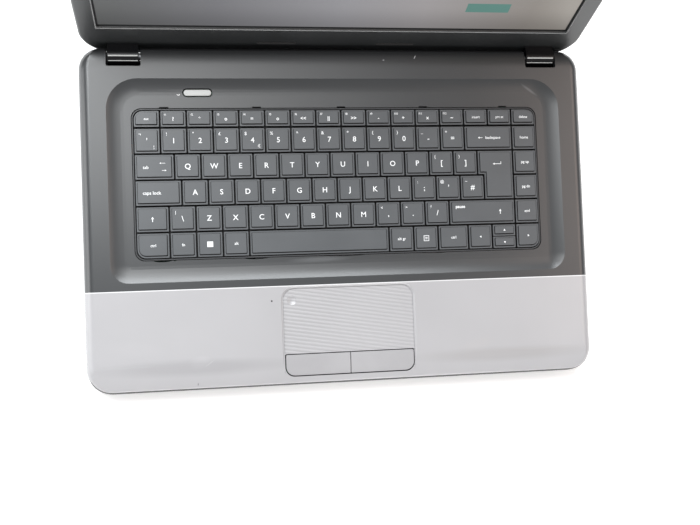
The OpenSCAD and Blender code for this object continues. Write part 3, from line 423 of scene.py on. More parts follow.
def cover_film(name, ridged=False):
    look, tree, shader = new_material(name, "#808080", 0.3, specular=0.85)
    dark = light_of("#303234")
    silver = light_of("#a3a2a4")
    painted_edge_highlight = light_of("#d9d9da")
    place = add_node(tree, "ShaderNodeTexCoord").outputs["Object"]
    axis = add_node(tree, "ShaderNodeSeparateXYZ", {"Vector": place}).outputs["Y"]
    edge = (FRONT + FILM_EDGE) * MM
    behind = add_node(tree, "ShaderNodeMapRange",
        {"Value": axis, "From Min": edge - 0.1 * MM, "From Max": edge + 0.1 * MM})
    # A thin band just in front of the join gets the pale colour: a painted highlight on the joint's edge.
    edge_highlight_band = add_node(tree, "ShaderNodeMapRange",
        {"Value": axis, "From Min": edge - 0.7 * MM, "From Max": edge - 0.55 * MM})
    cloud = add_node(tree, "ShaderNodeTexNoise",
        {"Vector": place, "Scale": 14.0, "Detail": 3.0, "Roughness": 0.5})
    fine = add_node(tree, "ShaderNodeTexNoise", {"Vector": place, "Scale": 2600.0, "Detail": 2.0})
    silver_and_painted_highlight = add_node(tree, "ShaderNodeMix", {"Factor": edge_highlight_band.outputs["Result"]}, data_type="RGBA")
    silver_and_painted_highlight.inputs["A"].default_value = silver
    silver_and_painted_highlight.inputs["B"].default_value = painted_edge_highlight
    both = add_node(tree, "ShaderNodeMix", {"Factor": behind.outputs["Result"]}, data_type="RGBA")
    tree.links.new(silver_and_painted_highlight.outputs["Result"], both.inputs["A"])
    both.inputs["B"].default_value = dark
    # Painted shade: the film is darker towards the hinge, where the lid shades the strip.
    painted_hinge_shade = add_node(tree, "ShaderNodeMapRange", {"Value": axis, "From Min": (FRONT + DEPTH - 17) * MM,
        "From Max": (FRONT + DEPTH - 9) * MM, "To Min": 1.0, "To Max": 0.45}, interpolation_type="SMOOTHSTEP")
    shade = add_node(tree, "ShaderNodeMapRange",
        {"Value": cloud.outputs["Fac"], "To Min": 0.92, "To Max": 1.08})
    cloud_tone_and_painted_shade = add_node(tree, "ShaderNodeMath", {0: shade.outputs["Result"], 1: painted_hinge_shade.outputs["Result"]},
        operation="MULTIPLY")
    film_wear_and_painted_light = add_node(tree, "ShaderNodeVectorMath", {0: both.outputs["Result"], "Scale": cloud_tone_and_painted_shade.outputs["Value"]},
        operation="SCALE").outputs["Vector"]
    for x, y, length, width, turn, depth, mark in FILM_WEAR_AND_PAINTED_LIGHT:
        spot = add_mark(tree, place, x, y, length, width, turn)
        amount = add_node(tree, "ShaderNodeMath", {0: spot, 1: depth}, operation="MULTIPLY")
        wear_and_painted_light_mix = add_node(tree, "ShaderNodeMix", {"Factor": amount.outputs["Value"]}, data_type="RGBA")
        tree.links.new(film_wear_and_painted_light, wear_and_painted_light_mix.inputs["A"])
        wear_and_painted_light_mix.inputs["B"].default_value = light_of(mark)
        film_wear_and_painted_light = wear_and_painted_light_mix.outputs["Result"]
    tree.links.new(film_wear_and_painted_light, shader.inputs["Base Color"])
    gloss = add_node(tree, "ShaderNodeMapRange",
        {"Value": cloud.outputs["Fac"], "To Min": 0.28, "To Max": 0.31})
    tree.links.new(gloss.outputs["Result"], shader.inputs["Roughness"])
    bump = add_node(tree, "ShaderNodeBump",
        {"Height": fine.outputs["Fac"], "Strength": 0.2, "Distance": 0.006 * MM})
    tree.links.new(bump.outputs["Normal"], shader.inputs["Normal"])
    if ridged:
        turned = add_node(tree, "ShaderNodeMapping", {"Vector": place, "Rotation": (0, 0, RIDGE_TURN)})
        across = add_node(tree, "ShaderNodeSeparateXYZ", {"Vector": turned.outputs["Vector"]}).outputs["Y"]
        phase = add_node(tree, "ShaderNodeMath",
            {0: across, 1: 2 * math.pi / (RIDGE_PITCH * MM)}, operation="MULTIPLY")
        wave = add_node(tree, "ShaderNodeMath", {0: phase.outputs["Value"]}, operation="SINE")
        tree.links.new(wave.outputs["Value"], bump.inputs["Height"])
        bump.inputs["Distance"].default_value = 0.12 * MM
        bump.inputs["Strength"].default_value = 0.6
        ridge = add_node(tree, "ShaderNodeMapRange",
            {"Value": wave.outputs["Value"], "From Min": -1.0, "From Max": 1.0,
            "To Min": 0.93, "To Max": 1.05})
        ribbed = add_node(tree, "ShaderNodeVectorMath", {0: film_wear_and_painted_light, "Scale": ridge.outputs["Result"]},
            operation="SCALE")
        tree.links.new(ribbed.outputs["Vector"], shader.inputs["Base Color"])
    return look


RIDGE_PITCH, RIDGE_TURN = 2.7, math.radians(9)
film = cover_film("two_tone_cover_film")
pad_film = cover_film("ridged_touch_film", ridged=True)

# %% [markdown]
# ## Top cover
# One moulding. A block gets round corners and a soft edge, then the dished deck, the keyboard
# opening, the button slots, the hinge notches and the recess of the touch surface are carved.

# %% Cover blank
def at(x, y, z):
    """A point with Y counted from the front edge of the base."""
    return [x, y + FRONT, z]


EDGE_ROLL = 7.5
TUCK = 0.35
cover = add_slab("top_cover_shell", at(-WIDTH / 2 + TUCK, TUCK, SPLIT_Z), at(WIDTH / 2 - TUCK, DEPTH, TOP_Z),
    FRONT_R - TUCK, REAR_R - TUCK, 12)
bevel_edges(cover, lambda a, b: a.z > TOP_Z - 0.01 and b.z > TOP_Z - 0.01, EDGE_ROLL, 8)
carve(cover, add_slab("hollow", at(-WIDTH / 2 + 2, 2, SPLIT_Z - 1), at(WIDTH / 2 - 2, DEPTH - 2, DECK_Z - 2),
    FRONT_R - 2, REAR_R - 2, 8))
FALL_D, FALL_H = 13.5, 5.5


def edge_cutter(name, y0, y1, depth, height, top):
    """What lies outside a long quarter ellipse: it lets a straight edge fall away in a soft curve.
    y0 is where the fall starts, y1 where the cutter ends, and top the height that it falls from."""
    cutter = add_block(name, at(-WIDTH / 2 - 5, min(y0, y1), top - height),
        at(WIDTH / 2 + 5, max(y0, y1), top + 4))
    roll = add_rod("roll", height, [-WIDTH / 2 - 9, 0, 0], [WIDTH / 2 + 9, 0, 0], 128)
    roll.scale.y = depth / height
    roll.location = Vector(at(0, y0, top - height)) * MM
    carve(cutter, settle(roll))
    return cutter


carve(cover, edge_cutter("rear_fall", DEPTH - FALL_D, DEPTH + 3, FALL_D + 1, FALL_H, TOP_Z))
FRONT_FALL = (24, -3, 25.5, 5.5)
carve(cover, edge_cutter("front_fall", *FRONT_FALL, TOP_Z))

# %% [markdown]
# ### Dished deck and touch surface
# The deck sinks in a wide soft sweep that ends at a crisp rim, so the cutter's lower edge gets a
# large round and only the lowest part of it bites. The recess of the touch surface is made the
# same way, runs out through the front edge, and has a fine line along the foot of its wall.

# %% Dished deck
DISH_LEAN, PAD_LEAN = 21, 48
DISH_FRONT_R, DISH_REAR_R = 13, 22
PAD_DROP, PAD_R = 0.8, 9.5


def soft_cutter(name, low, high, front_r, rear_r, drop, lean_deg):
    """A cutter whose lower edge is so widely rounded that its wall meets the rim at a set lean.
    low and high give the rim's outline, and drop is the depth of the flat floor below it."""
    lean = math.radians(lean_deg)
    radius = drop / (1 - math.cos(lean))
    grow = radius * (1 - math.sin(lean))
    cutter = add_slab(name, [low[0] - grow, low[1] - grow, low[2]],
        [high[0] + grow, high[1] + grow, low[2] + radius + 2], front_r + grow, rear_r + grow, 14)
    bevel_edges(cutter, lambda a, b: abs(a.z - low[2]) < 0.01 and abs(b.z - low[2]) < 0.01, radius, 24)
    return cutter


carve(cover, soft_cutter("dish", at(-WIDTH / 2 + DECK_SIDE, DECK_FRONT, DECK_Z),
    at(WIDTH / 2 - DECK_SIDE, DECK_REAR, TOP_Z), DISH_FRONT_R, DISH_REAR_R, DECK_DROP, DISH_LEAN))
PAD_W = 94.6
PAD_REAR = DECK_FRONT - 6.2
PAD_Z = TOP_Z - PAD_DROP
pad_edge = PAD_W / 2 + 2
carve(cover, soft_cutter("pad_recess", at(-pad_edge, -20, PAD_Z), at(pad_edge, PAD_REAR, TOP_Z), 3, PAD_R,
    PAD_DROP, PAD_LEAN))
LINE_IN, LINE_W, LINE_DEEP = 1.2, 0.6, 0.5
groove = add_slab("pad_groove", at(-pad_edge + LINE_IN, -20, PAD_Z - LINE_DEEP),
    at(pad_edge - LINE_IN, PAD_REAR - LINE_IN, TOP_Z), 3, PAD_R - LINE_IN, 8)
inside = LINE_IN + LINE_W
carve(groove, add_slab("pad_floor", at(-pad_edge + inside, -21, PAD_Z - 1),
    at(pad_edge - inside, PAD_REAR - inside, TOP_Z + 1), 3, PAD_R - inside, 8))
carve(cover, groove)

# %% Openings, notches and grooves
frame_low, frame_high = corners("keyboard_frame")
OPEN_GAP, POWER_GAP = 0.35, 0.9
OPEN_R = 7.2
LIP_GAPS = ((-132, 6.4, 0.95), (-123.4, 1, 0.5), (-65.6, 8.3, 0.85), (-2, 15, 0.6), (65.5, 9.7, 0.5))
carve(cover, add_slab("keyboard_opening", [frame_low[0] - OPEN_GAP, frame_low[1] - OPEN_GAP, SPLIT_Z - 2],
    [frame_high[0] + OPEN_GAP, frame_high[1] + OPEN_GAP, TOP_Z + 2], OPEN_R, OPEN_R, 8))
NOTCH_X, NOTCH_W, KNUCKLE_W = 155.2, 24.2, 21.6
NOTCH_FRONT = HINGE[1] - ROLL_R - 2.2
for side in (-1, 1):
    carve(cover, add_slab("notch", [side * NOTCH_X - NOTCH_W / 2, NOTCH_FRONT, SPLIT_Z - 2],
        [side * NOTCH_X + NOTCH_W / 2, HINGE[1] + 20, TOP_Z + 2], 1.2, 0, 4))
left_low, left_high = corners("touchpad_button_left")
right_low, right_high = corners("touchpad_button_right")
SEAM = 0.65
carve(cover, add_slab("button_opening", [left_low[0] - SEAM, left_low[1] - SEAM, SPLIT_Z],
    [right_high[0] + SEAM, right_high[1] + SEAM, TOP_Z + 2], 6.6, 1.2, 8))
power_low, power_high = corners("power_button")
power_round = (power_high[1] - power_low[1]) / 2
carve(cover, add_slab("power_opening", [power_low[0] - POWER_GAP, power_low[1] - POWER_GAP, SPLIT_Z],
    [power_high[0] + POWER_GAP, power_high[1] + POWER_GAP, TOP_Z + 2],
    power_round + POWER_GAP - 0.02, power_round + POWER_GAP - 0.02, 8))
DIMPLE, DIMPLE_R, DIMPLE_DROP = at(-41.5, 61.6, PAD_Z), 7.2, 0.9
PINHOLE = (-56.1, 61.5)
carve(cover, add_rod("pinhole", 0.6, at(*PINHOLE, TOP_Z - 1.5), at(*PINHOLE, TOP_Z + 1), 16))
open_front, open_back = frame_low[1] - OPEN_GAP - FRONT, frame_high[1] + OPEN_GAP - FRONT
for x in (-128, -62, 0, 62, 124):
    carve(cover, add_block("clip_slot", at(x - 3.2, open_back - 0.5, SPLIT_Z - 2),
        at(x + 3.2, open_back + 0.9, TOP_Z)))
for x, half_width, depth in LIP_GAPS:
    gap = add_rod("lip_gap", depth, [0, 0, SPLIT_Z - 2], [0, 0, TOP_Z + 2], 48)
    gap.scale.x = half_width / depth
    gap.location = Vector(at(x, open_front, 0)) * MM
    carve(cover, settle(gap))
clear_selection()
bpy.ops.mesh.primitive_uv_sphere_add(segments=48, ring_count=32, radius=DIMPLE_R * MM,
    location=Vector([DIMPLE[0], DIMPLE[1], PAD_Z + DIMPLE_R - DIMPLE_DROP]) * MM)
carve(cover, settle(bpy.context.object))
soften(cover, 0.22, 2, 33)
for look in (film, pad_film, black_abs):
    cover.data.materials.append(look)
touch_front = left_high[1] - FRONT + 0.5
for face in cover.data.polygons:
    x, y, z = face.center / MM
    on_touch = abs(x) < PAD_W / 2 and touch_front < y - FRONT < PAD_REAR - 2 and PAD_Z - 1 < z < PAD_Z + 0.05
    in_pinhole = math.hypot(x - PINHOLE[0], y - FRONT - PINHOLE[1]) < 0.7 and z < TOP_Z - 0.1
    cut_wall = z < DECK_Z - 0.25 and abs(face.normal.z) < 0.5 and abs(x) < WIDTH / 2 - 4
    face.material_index = 2 if in_pinhole or cut_wall else 1 if on_touch else 0
finish_piece(cover, film, "base", ["top_cover"])

# %% [markdown]
# ## Keyboard
# Each key is a tile: a thin skirt with a raised top, hollow underneath. It is drawn once for each
# size and copied, and the four outer corner keys have their outer corner rounded off.

# %% Key layout
PITCH, KEY_GAP, SHORT_KEY = 18.67, 1.27, 11.4
KEYS_X, NUMBER_Y = -0.4, 178.4
FULL = PITCH - KEY_GAP
HALF = FULL / 2 - 0.3
FIRST_X = KEYS_X - 7.5 * PITCH
SHORT_Y = NUMBER_Y + 0.85 * PITCH
key_low, key_high = corners("keys_home_row")
SKIRT_Z, CAP_Z, CAP_STEP = key_low[2], key_high[2], 1.0


def row_y(n):
    return NUMBER_Y - n * PITCH


def run(first, last):
    return [(first + i, 1) for i in range(int(last - first) + 1)]


rows = {
    "function": ("function_row", SHORT_Y, SHORT_KEY, run(0, 15)),
    "number": ("number_row", row_y(0), FULL, run(0, 12) + [(13.5, 2), (15, 1)]),
    "upper": ("upper_row", row_y(1), FULL, [(0.25, 1.5)] + run(1.5, 12.5) + [(15, 1)]),
    "home": ("home_row", row_y(2), FULL, [(0.375, 1.75)] + run(1.75, 12.75) + [(15, 1)]),
    "lower": ("lower_row", row_y(3), FULL, [(0.125, 1.25)] + run(1.25, 11.25) + [(13.125, 2.75), (15, 1)]),
    "bottom": ("bottom_row", row_y(4), FULL,
        [(0.125, 1.25)] + run(1.25, 3.25) + [(9.75, 1), (10.75, 1), (11.875, 1.25)]),
    "space": ("space_bar", row_y(4), FULL, [(6.5, 5.5)]),
    "side_arrows": ("arrow_keys", row_y(4), FULL, [(13, 1), (15, 1)]),
    "up_arrow": ("arrow_keys", row_y(4) + (HALF + 0.6) / 2, HALF, [(14, 1)]),
    "down_arrow": ("arrow_keys", row_y(4) - (HALF + 0.6) / 2, HALF, [(14, 1)]),
}
ROUND_OFF = 6
LEDGE, GROOVE = 1.05, 0.45
SHIFT_X, SHIFT_Y = -0.1, 0.28
GROOVE_Z = CAP_Z - CAP_STEP - 0.4


# %% Keycaps
def paint_key(cap):
    """Matt grey on the tops and the flange, partly a painted sheen; the walls of the step, the groove and the
    skirt below get a darker copy, painted shade.
    """
    cap.data.materials.append(key_abs)
    cap.data.materials.append(key_step_painted_shade)
    for face in cap.data.polygons:
        z = face.center.z / MM
        on_step = GROOVE_Z + 0.02 < z < CAP_Z - 0.13 and abs(face.normal.z) < 0.6
        in_groove = abs(z - GROOVE_Z) < 0.2
        face.material_index = 1 if on_step or in_groove or z < GROOVE_Z - 0.4 else 0
    return cap


def tile_layer(name, width, depth, inset, shift, z0, z1, corner=None):
    """One layer of a tile: a block with small round corners, or one large one at an outer corner."""
    x, y = shift
    layer = add_block(name, [-width / 2 + inset + x, -depth / 2 + inset + y, z0],
        [width / 2 - inset + x, depth / 2 - inset + y, z1])
    sx, sy = corner or (0, 0)
    if corner:
        bevel_edges(layer, lambda a, b: upright(a, b) and a.x * sx > 0 and a.y * sy > 0, ROUND_OFF - inset, 6)
    bevel_edges(layer, lambda a, b: upright(a, b) and not (a.x * sx > 0 and a.y * sy > 0), 0.5, 2)
    return layer


def model_keycap(name, width, depth, corner=None):
    """A tile key at the origin: skirt and flange, a fine groove, the raised top, and the hollow."""
    size = (width, depth)
    cap = tile_layer(name, *size, 0, (0, 0), SKIRT_Z, CAP_Z - CAP_STEP, corner)
    carve(cap, tile_layer("groove", *size, LEDGE, (0, 0), GROOVE_Z, CAP_Z, corner))
    carve(cap, tile_layer("raised_top", *size, LEDGE + GROOVE, (SHIFT_X, SHIFT_Y), GROOVE_Z - 0.2, CAP_Z,
        corner), "UNION")
    carve(cap, tile_layer("key_hollow", *size, 1.3, (0, 0), SKIRT_Z - 1, GROOVE_Z - 0.5, corner))
    soften(cap, 0.14, 2, 30)
    return paint_key(cap)


corner_keys = {("function", 0): (-1, 1), ("function", 15): (1, 1), ("bottom", 0): (-1, -1),
    ("side_arrows", 1): (1, -1)}
patterns = {}
key_places = {}
for row, (body, y, depth, keys) in rows.items():
    for i, (column, units) in enumerate(keys):
        corner = corner_keys.get((row, i))
        size = (units, depth, corner)
        width = units * PITCH - KEY_GAP
        if size not in patterns:
            patterns[size] = model_keycap("key_pattern", width, depth, corner)
        mesh = patterns[size].data.copy()
        tilt = Matrix.Rotation(math.radians(random.uniform(-0.35, 0.35)), 4, "X")
        seat = Vector(at(FIRST_X + column * PITCH, y, random.uniform(-0.06, 0))) * MM
        mesh.transform(Matrix.Translation(seat) @ Matrix.Translation([0, 0, SKIRT_Z * MM]) @ tilt
            @ Matrix.Translation([0, 0, -SKIRT_Z * MM]))
        cap = bpy.data.objects.new(f"key_{row}_{i:02d}", mesh)
        bpy.context.scene.collection.objects.link(cap)
        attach(cap, body)
        node = body if body in nodes else "keys_" + body
        key_places.setdefault(node, []).append(cap)
for pattern in patterns.values():
    bpy.data.objects.remove(pattern)
for i in (4, 7):
    cap = key_places["keys_home_row"][i]
    middle = FIRST_X + rows["home"][3][i][0] * PITCH
    bump = add_block("home_bump", at(middle - 1.7, row_y(2) - 5.4, CAP_Z - 0.3),
        at(middle + 1.7, row_y(2) - 4.9, CAP_Z + 0.15))
    bump.data.materials.append(key_abs)
    key_places["keys_home_row"][i] = join(cap.name, [cap, bump])
print("keycaps", sum(len(v) for v in key_places.values()))

# %% Enter key
LEG_X, LEG_UNITS, HEAD_UNITS = 13.875, 1.25, 1.5
leg_w, head_w = LEG_UNITS * PITCH - KEY_GAP, HEAD_UNITS * PITCH - KEY_GAP
right_x = FIRST_X + LEG_X * PITCH + leg_w / 2
top_y, low_y = row_y(1) + FULL / 2, row_y(2) - FULL / 2
head_y = row_y(1) - FULL / 2


def enter_layer(name, left, right, front, back, z0, z1):
    """One layer of the L-shaped key: the leg is cut across, and its upper half is drawn out to
    the left into the wide head. left, right, front and back are insets from the outline."""
    layer = add_block(name, at(right_x - leg_w + left, low_y + front, z0),
        at(right_x - right, top_y - back, z1))
    pick(layer, "faces", lambda c, n: True)
    bpy.ops.mesh.bisect(plane_co=Vector(at(0, head_y + front, 0)) * MM, plane_no=(0, 1, 0))
    leave()
    pick(layer, "faces", lambda c, n: n.x < -0.9 and c.y - FRONT > head_y + front)
    bpy.ops.mesh.extrude_region_move(TRANSFORM_OT_translate={"value": ((leg_w - head_w) * MM, 0, 0)})
    leave()
    return layer


enter = enter_layer("key_enter", 0, 0, 0, 0, SKIRT_Z, CAP_Z - CAP_STEP)
wide = LEDGE + GROOVE
carve(enter, enter_layer("enter_groove", LEDGE, LEDGE, LEDGE, LEDGE, GROOVE_Z, CAP_Z))
carve(enter, enter_layer("enter_top", wide + SHIFT_X, wide - SHIFT_X, wide + SHIFT_Y, wide - SHIFT_Y,
    GROOVE_Z - 0.2, CAP_Z), "UNION")
carve(enter, add_block("enter_hollow", at(right_x - leg_w + 1.4, low_y + 1.4, SKIRT_Z - 1),
    at(right_x - 1.8, top_y - 1.4, GROOVE_Z - 0.5)))
paint_key(soften(enter, 0.14, 2, 30))
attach(enter, "enter_key")
key_places["enter_key"] = [enter]
for node, caps in key_places.items():
    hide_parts(node)

# %% [markdown]
# ### Legends
# The letters and signs are white ink on the caps: flat text turned into mesh, a hair above the
# cap. Arrows are three-sided. The key beside fn holds a plain square.

# %% Legend printing
INK_Z = CAP_Z + 0.02
LETTER, SMALL, TINY = 5.4, 2.9, 2.2


def print_text(text, x, y, size, weight=0.02):
    clear_selection()
    bpy.ops.object.text_add(location=Vector(at(x, y, INK_Z)) * MM)
    words = bpy.context.object
    words.data.body = text
    words.data.size = size * MM
    words.data.offset = weight * size * MM * 0.5
    words.data.align_x = "CENTER"
    words.data.align_y = "CENTER"
    words.data.resolution_u = 3
    bpy.ops.object.convert(target="MESH")
    return settle(bpy.context.object)


def print_shape(sides, x, y, radius, turn=0.0, hole=0.0):
    """A flat mark: a triangle for an arrow, or a ring."""
    clear_selection()
    bpy.ops.mesh.primitive_circle_add(vertices=sides, radius=radius * MM, fill_type="NGON",
        location=Vector(at(x, y, INK_Z)) * MM, rotation=(0, 0, math.radians(turn)))
    mark = settle(bpy.context.object)
    if hole:
        pick(mark, "faces", lambda c, n: True)
        bpy.ops.mesh.inset(thickness=(radius - hole) * MM)
        bpy.ops.mesh.delete(type="FACE")
        leave()
    return mark


def print_bar(x, y, width, height):
    """A thin printed stroke."""
    clear_selection()
    bpy.ops.mesh.primitive_plane_add(size=1, location=Vector(at(x, y, INK_Z)) * MM)
    bpy.context.object.scale = (width * MM, height * MM, 1)
    return settle(bpy.context.object)


def column(u):
    return FIRST_X + u * PITCH


number_marks = ["'", "1", "2", "3", "4", "5", "6", "7", "8", "9", "0", "-", "="]
number_upper = ["¬", "!", "\"", "£", "$", "%", "^", "&", "*", "(", ")", "_", "+"]
upper_marks = list("QWERTYUIOP") + ["[", "]"]
home_marks = list("ASDFGHJKL") + [";", "'", "#"]
lower_marks = ["\\"] + list("ZXCVBNM") + [",", ".", "/"]
lower_upper = ["|"] + [""] * 7 + ["<", ">", "?"]
ink = {name: [] for name in ("function_row", "number_row", "upper_row", "home_row", "lower_row",
    "bottom_row", "enter_key", "arrow_keys")}
CORNER_X, CORNER_Y = -4.9, 4.6


def write(row, *text):
    ink[row].append(print_text(*text))


def draw(row, *shape):
    ink[row].append(print_shape(*shape))


def rule(row, *stroke):
    ink[row].append(print_bar(*stroke))


for i in range(13):
    write("number_row", number_marks[i], column(i), row_y(0) - 0.3, LETTER)
    write("number_row", number_upper[i], column(i) + CORNER_X, row_y(0) + CORNER_Y, SMALL + 0.4)
write("number_row", "€", column(4) + 4.6, row_y(0) - 4.6, SMALL + 0.3)
write("number_row", "¦", column(0) + 4.8, row_y(0) - 4.6, SMALL)
write("number_row", "backspace", column(13.5) + 3.4, row_y(0), SMALL)
draw("number_row", 3, column(13.5) - 7.4, row_y(0), 0.9, 90)
rule("number_row", column(13.5) - 6, row_y(0), 2.6, 0.35)
write("number_row", "home", column(15), row_y(0), SMALL)
for i in range(12):
    write("upper_row", upper_marks[i], column(1.5 + i), row_y(1) - 0.1, LETTER)
    write("home_row", home_marks[i], column(1.75 + i), row_y(2) - 0.1, LETTER)
for i, sign in ((10, "{"), (11, "}")):
    write("upper_row", sign, column(1.5 + i) + CORNER_X, row_y(1) + CORNER_Y, SMALL)
for i, sign in ((9, ":"), (10, "@"), (11, "~")):
    write("home_row", sign, column(1.75 + i) + CORNER_X, row_y(2) + CORNER_Y, SMALL)
write("upper_row", "tab", column(0.25) - 6, row_y(1) - 0.4, SMALL + 0.3)
for s, turn in ((1, 90), (-1, -90)):
    draw("upper_row", 3, column(0.25) + 6 - s * 1.6, row_y(1) + s * 2.6, 0.8, turn)
    rule("upper_row", column(0.25) + 6.4, row_y(1) + s * 2.6, 2.4, 0.3)
write("upper_row", "pg up", column(15), row_y(1), SMALL)
write("home_row", "caps lock", column(0.375) - 4.6, row_y(2), SMALL + 0.5)
write("home_row", "pg dn", column(15), row_y(2), SMALL)
for i in range(11):
    write("lower_row", lower_marks[i], column(1.25 + i), row_y(3) - 0.1, LETTER)
    if lower_upper[i]:
        write("lower_row", lower_upper[i], column(1.25 + i) + CORNER_X, row_y(3) + CORNER_Y, SMALL)
for u in (0.125, 13.86):
    draw("lower_row", 3, column(u), row_y(3) + 0.8, 1.1, 0)
    rule("lower_row", column(u), row_y(3) - 0.8, 0.5, 2)
write("lower_row", "pause", column(12.25) - 0.9, row_y(3) + 4.2, SMALL + 0.3, 0.05)
write("lower_row", "end", column(15), row_y(3), SMALL)
for text, u in (("ctrl", 0.125), ("fn", 1.25), ("alt", 3.25), ("alt gr", 9.75), ("ctrl", 11.875)):
    write("bottom_row", text, column(u), row_y(4), SMALL)
rule("bottom_row", column(2.25), row_y(4), 4.2, 3.9)
for y, w in ((1.9, 3.6), (-1.9, 3.6), (0.6, 1.8), (-0.5, 1.8)):
    rule("bottom_row", column(10.75), row_y(4) + y, w, 0.4)
for s in (-1, 1):
    rule("bottom_row", column(10.75) + s * 1.8, row_y(4), 0.4, 4.2)
function_words = {0: "esc", 13: "insert", 14: "prt sc", 15: "delete"}
function_signs = {1: "?", 2: "*", 3: "o", 4: "=", 5: "o", 6: "<<", 7: "||", 8: ">>", 9: "-", 10: "+",
    11: "x", 12: "~"}
for i, text in function_words.items():
    write("function_row", text, column(i), SHORT_Y - 0.2, SMALL - 0.2)
for i, text in function_signs.items():
    write("function_row", text, column(i), SHORT_Y - 0.5, SMALL + 0.8, 0.05)
    write("function_row", f"f{i}", column(i) - 5.3, SHORT_Y + 2.6, TINY)
draw("enter_key", 3, column(13.875) - 3.6, row_y(1) - 1.2, 0.9, 90)
rule("enter_key", column(13.875) - 0.6, row_y(1) - 1.2, 5.2, 0.4)
rule("enter_key", column(13.875) + 1.85, row_y(1) - 0.4, 0.4, 1.9)
for u, dy, turn in ((13, 0, 90), (15, 0, -90), (14, (HALF + 0.6) / 2, 0), (14, -(HALF + 0.6) / 2, 180)):
    draw("arrow_keys", 3, column(u), row_y(4) + dy, 0.95, turn)
for body, marks in ink.items():
    printed = join("legends_" + body, marks)
    printed.data.materials.clear()
    finish_piece(printed, legend_ink, body, [])

# %% [markdown]
# ### Keyboard frame
# A thin black rim round the keys. It stays straight: the worn, wavy lip in front of it belongs to
# the top cover, where the shallow gaps were carved.

# %% Keyboard frame
RIM = 1.0
rim = add_slab("keyboard_rim", frame_low, frame_high, OPEN_R, OPEN_R, 8)
carve(rim, add_slab("rim_hole", [frame_low[0] + RIM, frame_low[1] + RIM, frame_low[2] - 1],
    [frame_high[0] - RIM, frame_high[1] - RIM, frame_high[2] + 1], OPEN_R - RIM, OPEN_R - RIM, 8))
soften(rim, 0.2, 2, 30)
finish_piece(rim, rim_abs, "base", ["keyboard_frame"])

# %% [markdown]
# ## Touchpad buttons and power button
# The pair is one rounded bar cut at a dark seam, with a soft bevel that catches the light.

# %% Buttons
BUTTON_SUNK = 0.35
for node, cut_low, cut_high in (("touchpad_button_left", left_low, left_high),
        ("touchpad_button_right", right_low, right_high)):
    key = add_slab(node + "_cap", [left_low[0], left_low[1], cut_low[2]],
        [right_high[0], left_high[1], cut_high[2] - BUTTON_SUNK], 6.3, 1.0, 8)
    carve(key, edge_cutter("button_fall", *FRONT_FALL, TOP_Z - BUTTON_SUNK))
    carve(key, add_block("half", [cut_low[0] - 0.01, cut_low[1] - 1, cut_low[2] - 1],
        [cut_high[0] + 0.01, cut_high[1] + 1, cut_high[2] + 1]), "INTERSECT")
    soften(key, 0.8, 4, 40)
    finish_piece(key, pad_abs, node, [node])
MARK_X, MARK_Y = -117.5, 212.4
mark = [print_shape(24, MARK_X, MARK_Y, 1.35, 0, 0.85), print_bar(MARK_X, MARK_Y + 1.2, 0.45, 1.5)]
for piece in mark:
    piece.location.z = (DECK_Z + 0.03 - INK_Z) * MM
    settle(piece)
mark = join("power_mark", mark)
mark.data.materials.clear()
finish_piece(mark, legend_ink, "base", [])
power = add_slab("power_key", power_low, power_high, power_round - 0.02, power_round - 0.02, 10)
soften(power, 0.5, 3, 40)
finish_piece(power, button_silver_and_painted_glint, "power_button", ["power_button"])

# %% [markdown]
# ## Lid
# The back is a shallow dished shell, the bezel a flat black frame with a thin bevelled lip round
# the screen, and the knuckles are glossy black mouldings that turn in the notches of the base.
# Two thin silver rods along each knuckle are painted highlights.

# %% Bezel
SCREEN_W, SCREEN_H, SCREEN_UP = 342, 194.5, 24
screen_low = [-SCREEN_W / 2, HINGE[1] - SCREEN_UP - SCREEN_H]
screen_high = [SCREEN_W / 2, HINGE[1] - SCREEN_UP]
LID_FRONT, LID_REAR = FRONT + 0.3, FRONT + DEPTH
LID_FRONT_R, LID_REAR_R = 18, 24
bezel = add_slab("bezel_frame", [-LID_W / 2, LID_FRONT, BEZEL_Z], [LID_W / 2, LID_REAR, BEZEL_Z + BEZEL_T],
    LID_FRONT_R, LID_REAR_R, 12)
bevel_edges(bezel, lambda a, b: a.z < BEZEL_Z + 0.01 and b.z < BEZEL_Z + 0.01, 1.6, 4)
window = add_block("window", [screen_low[0], screen_low[1], BEZEL_Z - 1],
    [screen_high[0], screen_high[1], BEZEL_Z + 5])
carve(bezel, window)


def on_window_rim(a, b):
    flat = abs(a.z - BEZEL_Z) < 0.01 and abs(b.z - BEZEL_Z) < 0.01
    inside = all(abs(p.x) < screen_high[0] + 0.1 and screen_low[1] - 0.1 < p.y < screen_high[1] + 0.1
        for p in (a, b))
    return flat and inside


bevel_edges(bezel, on_window_rim, 1.1, 2)
ARM_X, ARM_Y = 5.4, 3.4
for side in (-1, 1):
    carve(bezel, add_block("arm_slot", [side * NOTCH_X - ARM_X, HINGE[1] - ARM_Y, BEZEL_Z - 1],
        [side * NOTCH_X + ARM_X, HINGE[1] + ARM_Y, BEZEL_Z + 5]))
lens_y = screen_low[1] - 8
carve(bezel, add_rod("lens_hole", 1.2, [0, lens_y, BEZEL_Z - 1], [0, lens_y, BEZEL_Z + 5], 24))
soften(bezel, 0, 2, 35)
finish_piece(open_up(bezel), bezel_abs, "lid", ["screen_bezel"])

